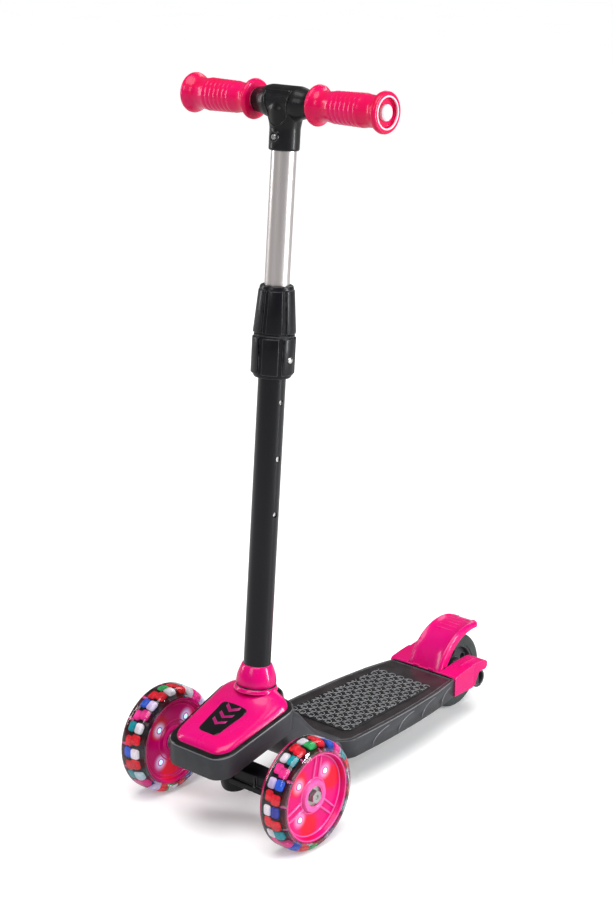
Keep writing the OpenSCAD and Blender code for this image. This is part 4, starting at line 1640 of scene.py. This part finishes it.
@dataclass
class FrontWheel(Assembly):
    """A front wheel: pink disc, coloured lugs in a clear tyre, lights and bearings."""

    side: int
    core_r: float = 49.3
    wheel_r: float = 60.0
    half: float = 17.0
    spokes: tuple[float, ...] = (78, 198, 318)
    lights: tuple[float, ...] = (48, 141, 224)
    light_r: float = 29.0
    first_lug: float = 90.0

    @property
    def name(self) -> str:
        """The wheel's name."""
        return "left" if self.side > 0 else "right"

    @property
    def body(self) -> Body:
        """The body that the wheel's pieces ride on."""
        return Body.LEFT if self.side > 0 else Body.RIGHT

    @property
    def place(self) -> Matrix:
        """Where the wheel goes."""
        return self.layout.on_wheel(self.side)

    def spot(self, angle: float, radius: float, z: float = 0.0) -> Matrix:
        """A frame on the wheel, its x pointing away from the axle.

        Args:
            angle: degrees from the rear of the wheel over its top.
            radius: distance from the axle.
            z: distance outwards along the axle.

        Returns:
            The matrix.
        """
        turn = Matrix.Rotation(math.radians(90 + angle), 4, "Z")
        return turn @ Matrix.Translation((radius, 0, z))

    def build(self) -> None:
        """Make and dress every piece of the wheel."""
        self.core()
        self.trims()
        self.tyre()
        self.lugs()
        self.windows()
        self.leds()

    def core(self) -> None:
        """The disc and the rim drum."""
        w, r = self.half - 1.5, self.core_r
        profile = [(8, -5), (11, -5), (11, -12.2), (11.6, -13), (14.6, -13), (15.3, -12.4),
                   (16.5, -11), (r - 5.3, -11), (r - 4.4, -11.5), (r - 3.9, -w + 0.7),
                   (r - 3.3, -w), (r - 0.3, -w), (r, -w + 0.3), (r, w - 0.3), (r - 0.3, w),
                   (r - 2.6, w), (r - 3.1, w - 0.5), (r - 4.5, 10.2), (r - 5.4, 9.5),
                   (18.6, 9.5), (17.8, 10), (17.0, 12.9), (16.4, 13.5), (13.2, 13.5),
                   (12.6, 13.2), (12.1, 12.5), (11, 12.5), (11, 3.5), (8, 3.5)]
        disc = Shape.lathe(profile, 144)
        disc.paint(1, lambda f: f.calc_center_median().z > 10.4
                   and f.calc_center_median().xy.length < 18)
        self.tint(disc)
        self.put(f"{self.name}_disc", disc, Slot.PINK, [self.finish.disc, self.finish.rib],
                 (f"{self.name}_core",), 35)

    def tint(self, disc: Shape) -> None:
        """Split the disc's faces finely and note how near each point is to a light, for the
        painted glow, and to the middle of each sector, for the painted red light.

        Args:
            disc: the disc.
        """
        bm = disc.bm
        flat = [f for f in bm.faces if abs(f.normal.z) > 0.95
                and 17 < f.calc_center_median().xy.length < 43]
        edges = {e for f in flat for e in f.edges
                 if abs(e.verts[0].co.xy.length - e.verts[1].co.xy.length) > 5}
        bmesh.ops.subdivide_edges(bm, edges=list(edges), cuts=19, use_grid_fill=True)
        halo = bm.verts.layers.float.new("halo")
        red = bm.verts.layers.float.new("red")
        spots = [(self.spot(a, self.light_r) @ Vector((0, 0, 0))).xy for a in self.lights]
        patches = [(self.spot(a, 33.0) @ Vector((0, 0, 0))).xy for a in (18, 138, 258)]
        # halo is the share of painted glow round the lights; red is the share of painted red
        # light in each sector.
        for v in bm.verts:
            near = min((v.co.xy - p).length for p in spots)
            v[halo] = max(0.0, 1 - max(0.0, near - 2.6) / 9.0) ** 1.7
            away = min((v.co.xy - p).length for p in patches)
            v[red] = max(0.0, min(1.0, (17.5 - away) / 7))

    def trims(self) -> None:
        """The twin spoke ribs, the ring beads and the inner stiffening ring."""
        ribs = Shape()
        for angle in self.spokes:
            for shift in (-4.6, 4.6):
                points = [Vector((x, shift * (1 - 0.12 * (x - 16) / 30), 9.9))
                          for x in (16.6, 20, 26, 32, 38, 43.9)]
                ribs.add(bead(points, 1.25, 10).moved(self.spot(angle, 0)))
        # The last ring, on the rim's top edge, is a light pink line that paints the rim's edge
        # highlight.
        for radius, thick, z in ((self.core_r - 5.6, 0.8, 9.7), (19.2, 0.8, 9.6),
                                 (self.core_r - 2.2, 0.6, self.half - 1.6)):
            ribs.add(bead(circle(radius, z), thick, 10, closed=True))
        self.put(f"{self.name}_spokes", ribs, Slot.PINK, [self.finish.rib], smooth=60)
        inner = Shape()
        for radius in (23.0, 41.0):
            inner.add(bead(circle(radius, -10.9), 0.8, 8, closed=True))
        self.put(f"{self.name}_inner_rings", inner, Slot.PINK, [self.finish.disc], smooth=60)

    def tyre(self) -> None:
        """The clear tyre, cast round the lugs."""
        r, outer, w = self.core_r, self.wheel_r, self.half
        profile = [(r + 0.05, -w + 1.5), (r + 2.4, -w + 1.3)]
        profile += round_corner((outer - 10, -w + 10), 10, -100, 12)
        profile += [(p, -z) for p, z in reversed(profile)]
        tyre = Shape.lathe(profile, 144)
        self.put(f"{self.name}_clear_tyre", tyre, Slot.CLEAR, [self.finish.clear],
                 (f"{self.name}_tyre",), 50)

    @staticmethod
    def sequence() -> list[tuple[Colour, ...]]:
        """Colours of the lugs, from the top of the wheel towards its front and down.

        Returns:
            One colour for a wide lug, or two for a pair.
        """
        red, rose = (0.85, 0.01, 0.03), (0.95, 0.02, 0.3)
        white, violet, cyan = (0.86, 0.88, 0.93), (0.72, 0.66, 0.95), (0.62, 0.88, 0.95)
        blue, deep = (0.02, 0.12, 0.75), (0.02, 0.04, 0.42)
        teal, green = (0.0, 0.36, 0.42), (0.02, 0.5, 0.12)
        # In each pair the pale colour (white, violet and cyan) paints the highlight on its
        # coloured lug.
        half = [(white, green), (red,), (violet, blue), (rose,), (white, teal), (red,),
                (white, blue), (red,), (cyan, teal), (rose,), (violet, deep), (red,)]
        return half + [(white, green), (red,), (cyan, blue), (rose,), (white, teal), (red,),
                       (white, deep), (red,), (violet, blue), (rose,), (white, teal), (red,)]

    def lugs(self) -> None:
        """The coloured lugs and the dark ring behind them."""
        lugs = Shape()
        lugs.bm.verts.layers.float_color.new("tint")
        for i, colours in enumerate(self.sequence()):
            angle = self.first_lug - 15 * i if self.side > 0 else 90 + 15 * i
            singles = len(colours) == 1
            spans = ((-8.6, 8.6),) if singles else ((-9.0, -0.2), (0.2, 9.0))
            for colour, (low, high) in zip(colours, spans):
                lobes = ((low, 0.6, -1.3), (-0.6, high, 1.3)) if singles else ((low, high, 0),)
                for start, stop, slip in lobes:
                    lug = Shape.box((-2.4, -5.6, start), (3.2, 5.6, stop))
                    lug.round_edges(2.6, 40, 5).shifted(y=slip)
                    lug.moved(self.spot(angle, self.core_r + 3.4))
                    lugs.add(lug.dye(colour))
        backing = Shape.lathe(ring_profile(self.core_r + 0.1, self.core_r + 1.0,
                                           -self.half + 4.2, self.half - 9.4), 144)
        lugs.add(backing.dye((0.004, 0.003, 0.004)))
        self.put(f"{self.name}_lugs", lugs, Slot.LUGS, [self.finish.lugs],
                 (f"{self.name}_light_band",), 50)

    def windows(self) -> None:
        """The dark windows between the rim and the tyre, with their dividers."""
        panes, bars = Shape(), Shape()
        for i in range(12):
            pane = Shape.box((-0.1, -11.2, 8.0), (0.8, 11.2, 14.6)).round_edges(0.3, 40, 2)
            bm = pane.bm
            bmesh.ops.subdivide_edges(bm, edges=[e for e in bm.edges if abs(
                e.verts[0].co.y - e.verts[1].co.y) > 15], cuts=7)
            for v in bm.verts:
                a = v.co.y / (self.core_r + 0.2)
                radius = self.core_r + 0.2 + v.co.x
                v.co = Vector((radius * math.cos(a), radius * math.sin(a), v.co.z))
            pane.turned(30 * i + 7.5, "Z")
            panes.add(pane)
            bar = Shape.box((0.1, -0.8, 7.6), (1.3, 0.8, 15.1)).round_edges(0.4, 40, 2)
            bars.add(bar.moved(self.spot(30 * i + 22.5, self.core_r)))
        self.put(f"{self.name}_windows", panes, Slot.PINK, [self.finish.window])
        self.put(f"{self.name}_dividers", bars, Slot.PINK, [self.finish.rib])

    def leds(self) -> None:
        """The three lights that shine on both faces of the disc."""
        bulbs, seats = Shape(), Shape()
        for angle in self.lights:
            profile = [(0.0, -12.4), (1.5, -12.2), (2.5, -11.6), (2.9, -10.9), (2.9, 9.4),
                       (2.6, 10.3), (1.6, 10.9), (0.0, 11.1)]
            bulb = Shape.lathe(profile, 32, closed=False).dye((0.34, 0.7, 0.92))
            bulbs.add(bulb.moved(self.spot(angle, self.light_r)))
            for low, high in ((9.1, 10.2), (-11.7, -10.6)):
                seat = Shape.lathe(ring_profile(2.9, 4.4, low, high), 32)
                seats.add(seat.round_edges(0.4, 40, 2).moved(self.spot(angle, self.light_r)))
        self.put(f"{self.name}_bulbs", bulbs, Slot.LED, [self.finish.led], (f"{self.name}_leds",),
                 50)
        self.put(f"{self.name}_light_seats", seats, Slot.PINK, [self.finish.rib])


@dataclass
class RearWheel(Assembly):
    """The small grey rear wheel."""

    body: ClassVar[Body] = Body.REAR
    radius: float = 46.0
    half: float = 13.0
    core: float = 33.0

    @property
    def place(self) -> Matrix:
        """The middle of the wheel."""
        return self.layout.on_rear()

    def build(self) -> None:
        """Make and dress the tyre and the core."""
        w, r, c = self.half, self.radius, self.core
        profile = [(c, -w + 1.0), (c + 3, -w + 0.6)]
        profile += round_corner((r - 7, -w + 7), 7, -90, 10)
        profile += [(p, -z) for p, z in reversed(profile)]
        tyre = Shape.lathe(profile, 128)
        self.put("rear_tyre_body", tyre, Slot.GREY_TYRE, [self.finish.tyre], ("rear_tyre",), 50)
        core = Shape.lathe([(8, -4), (11, -4), (11, -11), (14.6, -11), (15.2, -10.4), (16, -5),
                            (c - 4, -5), (c - 3, -w + 2.4), (c - 2.6, -w + 2), (c, -w + 2),
                            (c, w - 2), (c - 2.6, w - 2), (c - 3, w - 2.4), (c - 4, 5),
                            (16, 5), (15.2, 10.4), (14.6, 11), (11, 11), (11, 4), (8, 4)], 128)
        holes = Shape()
        for k in range(6):
            hole = Shape.rod(4.5, -20, 20, 32).shifted(x=22.5)
            holes.add(hole.turned(60 * k, "Z"))
        core = carve(core, holes)
        self.put("rear_core_body", core, Slot.GREY, [self.finish.grey], ("rear_core",), 35)


# ---------------------------------------------------------------- steering truck


@dataclass
class Truck(Assembly):
    """The black beam that leans and carries the front axles."""

    body: ClassVar[Body] = Body.TRUCK
    axle_z: float = 60.0
    end: float = 82.5

    def build(self) -> None:
        """Make and dress the beam."""
        z, end = self.axle_z, self.end
        beam = Shape.slab([(-end + 1, -9), (-30, -12.6), (30, -12.6), (end - 1, -9),
                           (end - 1, 9), (30, 12.6), (-30, 12.6), (-end + 1, 9)], 20)
        beam.shifted(z=z - 15).round_edges(2.4, 40, 3)
        ledge = Shape.box((-end + 12, -15, z - 15), (end - 12, -8, z - 8.2))
        beam.add(ledge.round_edges(1.4, 40, 3))
        socket = Shape.lathe([(4, end - 16), (10.2, end - 16), (11, end - 15.2),
                              (11, end - 1), (10.2, end), (4, end)], 64)
        beam.add(socket.turned(90, "Y").shifted(z=z).mirrored())
        for x in (-58, -42, 42, 58):
            beam.add(Shape.box((x - 1.1, -14.4, z - 14.4), (x + 1.1, -7, z + 3))
                     .round_edges(0.5, 40, 2))
        self.put("beam", beam, Slot.BLACK, [self.finish.black], ("truck_beam",), 35)
        top = 24.9
        boss = Shape.lathe([(4.2, -16.4), (8, -16.4), (8, -24.6), (15.4, -24.6), (16.6, -23.6),
                            (17, -22), (17, top - 1.2), (16, top), (4.2, top)], 96)
        self.put("beam_boss", boss, Slot.BLACK, [self.finish.black], smooth=35,
                 place=self.layout.on_king())


# ---------------------------------------------------------------- column


@dataclass
class Column(Assembly):
    """The clamp collar, twist nut, T-joint and grips of the sliding column."""

    body: ClassVar[Body] = Body.COLUMN
    collar_s: float = 485.0
    split_s: float = 533.0
    nut_top: float = 584.5
    height: float = 775.0
    tilt: float = 4.46
    grip_end: float = 135.0

    @property
    def handle(self) -> float:
        """Distance along the column of the handlebar's axis."""
        return self.height / math.cos(math.radians(self.tilt))

    def build(self) -> None:
        """Make and dress every piece of the column."""
        self.clamp()
        self.nut()
        self.joint()
        for side in (1, -1):
            self.grip(side)

    @staticmethod
    def panel(low: float, high: float, r_low: float, r_high: float, depth: float,
              half: float) -> Shape:
        """A wide raised panel that follows a collar.

        Args:
            low: height of its lower edge.
            high: height of its upper edge.
            r_low: outer radius at the lower edge.
            r_high: outer radius at the upper edge.
            depth: thickness.
            half: half of its angle, in degrees.

        Returns:
            The panel.
        """
        shape = Shape.box((-1, -half, low), (0, half, high))
        bm = shape.bm
        for _ in range(3):
            bmesh.ops.subdivide_edges(bm, edges=[e for e in bm.edges if abs(
                e.verts[0].co.y - e.verts[1].co.y) > 1], cuts=1)
        for v in bm.verts:
            share = (v.co.z - low) / (high - low)
            radius = r_low + (r_high - r_low) * share + v.co.x * depth
            a = math.radians(v.co.y)
            v.co = Vector((radius * math.cos(a), radius * math.sin(a), v.co.z))
        return shape.clean().round_edges(0.9, 50, 3)

    def clamp(self) -> None:
        """The collar clamped on the lower tube."""
        place = self.layout.on_stem(self.collar_s)
        collar = Shape.lathe([(15, 0), (18.6, 0), (19.6, 0.3), (21.0, 2.5), (21.4, 4.4),
                              (21.3, 7), (21.1, 44.2), (22.0, 45.2), (22.1, 46.2),
                              (21.3, 47.4), (20.6, 47.6), (15, 47.6)], 128)
        for i in range(6):
            collar.add(self.panel(4.6, 43.8, 23.5, 23.5, 3.2, 23).turned(60 * i + 2, "Z"))
        self.put("collar_shell", collar, Slot.BLACK, [self.finish.black], ("clamp_collar",), 35,
                 place=place, body=Body.FRAME)
        inner = Shape.lathe(ring_profile(15, 17.4, 44, 62.8), 64)
        self.put("collar_sleeve", inner, Slot.BLACK, [self.finish.black], place=place,
                 body=Body.FRAME)
        rivet = Shape.lathe([(0, 24.9), (1.9, 24.8), (3.0, 24.3), (3.5, 23.6), (3.4, 21.5),
                             (0, 21.5)], 40, closed=False).turned(90, "Y").shifted(z=21)
        self.put("collar_rivet", rivet.turned(2, "Z"), Slot.ZINC, [self.finish.bright],
                 ("clamp_rivet",), 50, place=place, body=Body.FRAME)

    def nut(self) -> None:
        """The twist nut above the collar."""
        h = self.nut_top - self.split_s
        nut = Shape.lathe([(17.8, 0), (20.4, 0), (20.9, 0.5), (20.9, 1.4), (17.6, h - 5.6),
                           (18.5, h - 4.4), (18.3, h - 2.2), (17.4, h - 0.5), (16.4, h),
                           (13.95, h), (13.95, 36), (17.8, 34)], 128)
        for i in range(6):
            nut.add(self.panel(0.4, h - 5.2, 23.4, 19.6, 3.0, 23).turned(60 * i + 9, "Z"))
        self.put("nut_shell", nut, Slot.BLACK, [self.finish.black], ("twist_nut",), 35,
                 place=self.layout.on_stem(self.split_s), body=Body.NUT)

    def joint(self) -> None:
        """The T-shaped moulding that holds the handlebar."""
        place = self.layout.on_stem(self.handle)
        solid = Shape()
        barrel = [(0, -39.8), (13.2, -39.8), (14.3, -32), (17.4, -21.5), (17.9, -19),
                  (17.9, 19), (17.4, 21.5), (14.3, 32), (13.2, 39.8), (0, 39.8)]
        solid.add(Shape.lathe(barrel, 96, closed=False).turned(90, "Y"))
        sleeve = [(0, -50.4), (15.9, -50.4), (16.5, -49.6), (16.5, -27), (19.7, -7), (17, 4),
                  (0, 4)]
        solid.add(Shape.lathe(sleeve, 96, closed=False))
        solid.add(Shape.rod(5.5, 10, 17.3, 48).turned(90, "X").shifted(z=-36))
        melted = weld(solid, 0.9, 4)
        tree = BVHTree.FromBMesh(melted.bm)
        self.put("bar_joint", melted, Slot.BLACK, [self.finish.joint], ("t_joint",), 60,
                 place=place)
        points = []
        for x, z in self.tongue():
            hit, normal, _, _ = tree.ray_cast(Vector((x, -60, z)), Vector((0, 1, 0)))
            if hit:
                points.append(hit + normal * 0.1)
        self.put("joint_seam", bead(points, 0.75, 10, closed=True), Slot.BLACK,
                 [self.finish.seam], smooth=60, place=place)
        eye = Shape.lathe([(3.7, 16.8), (4.3, 17.9), (5.4, 17.9), (5.8, 17.2), (5.8, 15),
                           (3.7, 15)], 48).turned(90, "X").shifted(z=-36)
        self.put("joint_eyelet", eye, Slot.BLACK, [self.finish.joint], place=place)

    @staticmethod
    def tongue() -> list[tuple[float, float]]:
        """The shield-shaped outline on the joint's front, in x and z.

        Returns:
            The points.
        """
        corners = [(-17.5, 12.5), (17.5, 12.5), (14.5, -4), (11.8, -16), (7.5, -22.5),
                   (0, -25), (-7.5, -22.5), (-11.8, -16), (-14.5, -4)]
        points = []
        for (x0, z0), (x1, z1) in zip(corners, corners[1:] + corners[:1]):
            for k in range(6):
                points.append((x0 + (x1 - x0) * k / 6, z0 + (z1 - z0) * k / 6))
        return points

    def grip(self, side: int) -> None:
        """A ribbed grip with its end ring.

        Args:
            side: 1 for the rider's left grip, -1 for the right one.
        """
        e, name = self.grip_end, "left" if side > 0 else "right"
        place = self.layout.on_stem(self.handle)
        if side < 0:
            place = place @ FLIP
        profile = [(12, 41), (18.6, 41), (19.6, 41.3), (21.2, 42.4), (21.9, 44.2), (21.7, 45.8),
                   (20.6, 47.2), (18.2, 49), (16.6, 51.6), (15.8, 54.5), (15.6, 58),
                   (15.9, 60.5)]
        for k in range(7):
            middle, lift = e - 65.5 + 6.0 * k, 0.13 * k
            profile += [(16.7 + lift, middle - 2.8), (17.0 + lift, middle - 2.0),
                        (17.2 + lift, middle - 0.8), (17.2 + lift, middle + 0.8),
                        (17.0 + lift, middle + 2.0), (16.7 + lift, middle + 2.8)]
        profile += [(16.9, e - 22), (16.6, e - 16), (17, e - 12.6), (18.8, e - 9.4),
                    (21.2, e - 6.6), (22, e - 4.4), (21.8, e - 2), (21.0, e - 0.6),
                    (20.0, e - 0.1), (17.4, e - 0.1), (17.3, e - 1.5), (15.9, e - 1.5),
                    (15.3, e - 4.5), (8.4, e - 4.5), (8.4, e - 8), (12, e - 8)]
        grip = Shape.lathe(profile, 96).turned(90, "Y")
        self.put(f"{name}_grip_body", grip, Slot.GRIP, [self.finish.grip], (f"{name}_grip",), 50,
                 place=place)
        ring = Shape.lathe(ring_profile(15.8, 17.5, e - 1.6, e + 0.35), 96)
        ring.round_edges(0.5, 40, 3).turned(90, "Y")
        stands = ("end_rings",) if side > 0 else ()
        self.put(f"{name}_end_ring", ring, Slot.PALE, [self.finish.pale], stands, place=place)


# ---------------------------------------------------------------- carried-over parts


@dataclass
class Hardware:
    """The mechanical model's own parts that stay in sight, with better materials."""

    frame: dict[str, Any]
    finish: Finishes

    def table(self) -> dict[str, bpy.types.Material]:
        """Material of each part that is kept.

        Returns:
            The material by the part's name.
        """
        f = self.finish
        groups = {
            f.zinc: ("box_screws", "kingpin_bolt", "kingpin_nut", "rear_axle_bolt",
                     "rear_axle_nut", "rear_spacers", "fender_pin", "fender_spring",
                     "axle_bolts", "axle_spacers", "left_bearings", "right_bearings",
                     "rear_bearings", "button_spring", "t_screw"),
            f.bright: ("snap_button",),
            f.tube: ("lower_tube",),
            f.aluminium: ("upper_tube", "bar_tube"),
            f.cushion: ("steer_cushion",),
            f.black: ("clamp_wedge", "tube_guide"),
            f.pale: ("end_plugs",),
        }
        return {name: material for material, names in groups.items() for name in names}

    def build(self) -> None:
        """Dress the parts."""
        table = self.table()
        for name, obj in self.frame["nodes"].items():
            material = table.get(name)
            if material is None or obj.type != "MESH":
                continue
            slots = obj.data.materials
            if not slots:
                slots.append(material)
            for i in range(len(slots)):
                slots[i] = material
            LOG.info("%s: dressed with %s", name, material.name)


# ---------------------------------------------------------------- studio


@dataclass
class Studio:
    """Floor, soft lights and camera."""

    layout: Layout
    floor_half: float = 60.0
    camera_place: tuple[float, float, float] = (1.35906, -1.65286, 1.02682)
    camera_way: tuple[float, float, float] = (-0.64813, 0.73154, -0.21161)
    lens: float = 77.588
    shift: tuple[float, float] = (0.03444, -0.19076)

    def build(self) -> None:
        """Set up everything round the object."""
        self.floor()
        self.world()
        for name, place, size, power, colour in (
                ("key", (0.1, -2.6, 1.9), (1.0, 1.2), 17.0, (1.0, 0.985, 0.97)),
                ("strip", (2.1, 0.9, 1.0), (0.35, 1.9), 58.0, (0.97, 0.985, 1.0)),
                ("left", (-2.4, -1.0, 1.2), (0.5, 1.6), 18.0, (1.0, 1.0, 1.0)),
                ("back", (-0.8, 2.4, 2.2), (1.2, 1.2), 12.0, (1.0, 1.0, 1.0))):
            self.light(name, place, size, power, colour)
        self.sun()
        self.camera()

    def floor(self) -> None:
        """A plain pale floor."""
        shape = Shape()
        bmesh.ops.create_grid(shape.bm, x_segments=8, y_segments=8, size=self.floor_half)
        obj = shape.as_object("floor")
        net, shader, material = Finish().open("pale floor")
        tone = net.ramp(net.noise(3.0, 4.0, 0.5), 0.3, 0.7)
        seen = net.add("LightPath").outputs["Is Camera Ray"]
        pale = net.mix(tone, (0.95, 0.95, 0.95), (0.93, 0.93, 0.932))
        net.put(shader.inputs["Base Color"], net.mix(seen, (0.42, 0.42, 0.42), pale))
        shader.inputs["Roughness"].default_value = 0.6
        shader.inputs["Specular IOR Level"].default_value = 0.2
        shader.inputs["Emission Color"].default_value = (1.0, 1.0, 1.0, 1.0)
        shader.inputs["Emission Strength"].default_value = 0.16
        obj.data.materials.append(material)

    @staticmethod
    def world() -> None:
        """Even white surroundings."""
        world = bpy.data.worlds.new("studio")
        world.use_nodes = True
        ground = world.node_tree.nodes["Background"]
        net = Net(world.node_tree)
        seen = net.add("LightPath").outputs["Is Camera Ray"]
        ground.inputs["Color"].default_value = (1.0, 1.0, 1.0, 1.0)
        net.put(ground.inputs["Strength"], net.math("MULTIPLY_ADD", seen, 0.86, 0.14))
        bpy.context.scene.world = world
        bpy.context.scene.view_settings.view_transform = "Standard"

    @staticmethod
    def light(name: str, place: tuple[float, float, float], size: tuple[float, float],
              power: float, colour: Colour) -> None:
        """A rectangular soft light aimed at the middle of the scooter.

        Args:
            name: the light's name.
            place: where it stands, in metres.
            size: its width and height, in metres.
            power: its power in watts.
            colour: its colour.
        """
        data = bpy.data.lights.new(name, "AREA")
        data.shape = "RECTANGLE"
        data.size, data.size_y = size
        data.energy = power
        data.color = colour
        obj = bpy.data.objects.new(name, data)
        way = Vector((0.0, 0.0, 0.35)) - Vector(place)
        obj.rotation_euler = way.to_track_quat("-Z", "Y").to_euler()
        obj.location = place
        bpy.context.scene.collection.objects.link(obj)

    @staticmethod
    def sun() -> None:
        """A very soft overhead light that reaches the whole floor evenly."""
        data = bpy.data.lights.new("sky", "SUN")
        data.energy = 2.75
        data.angle = math.radians(50)
        obj = bpy.data.objects.new("sky", data)
        obj.rotation_euler = (math.radians(14), math.radians(10), 0)
        bpy.context.scene.collection.objects.link(obj)

    def camera(self) -> None:
        """The camera, level and looking slightly down on the scooter."""
        data = bpy.data.cameras.new("camera")
        data.lens = self.lens
        data.sensor_width = 36.0
        data.sensor_fit = "AUTO"
        data.shift_x, data.shift_y = self.shift
        data.clip_start = 0.05
        obj = bpy.data.objects.new("camera", data)
        obj.location = self.camera_place
        way = Vector(self.camera_way)
        obj.rotation_euler = way.to_track_quat("-Z", "Y").to_euler()
        bpy.context.scene.collection.objects.link(obj)
        bpy.context.scene.camera = obj


# ---------------------------------------------------------------- assembly


def main() -> None:
    """Build the scooter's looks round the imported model."""
    logging.basicConfig(level=logging.INFO, format="%(name)s: %(message)s", stream=sys.stdout)
    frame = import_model()
    layout = Layout.from_frame(frame)
    Studio(layout).build()
    finish = Finishes()
    for assembly in (FrontBox(layout, finish), Deck(layout, finish), FootBrake(layout, finish),
                     Truck(layout, finish), FrontWheel(layout, finish, 1),
                     FrontWheel(layout, finish, -1), RearWheel(layout, finish),
                     Column(layout, finish), Hardware(frame, finish)):
        assembly.build()
        LOG.info("%s finished", type(assembly).__name__)


if __name__ == "__main__":
    main()
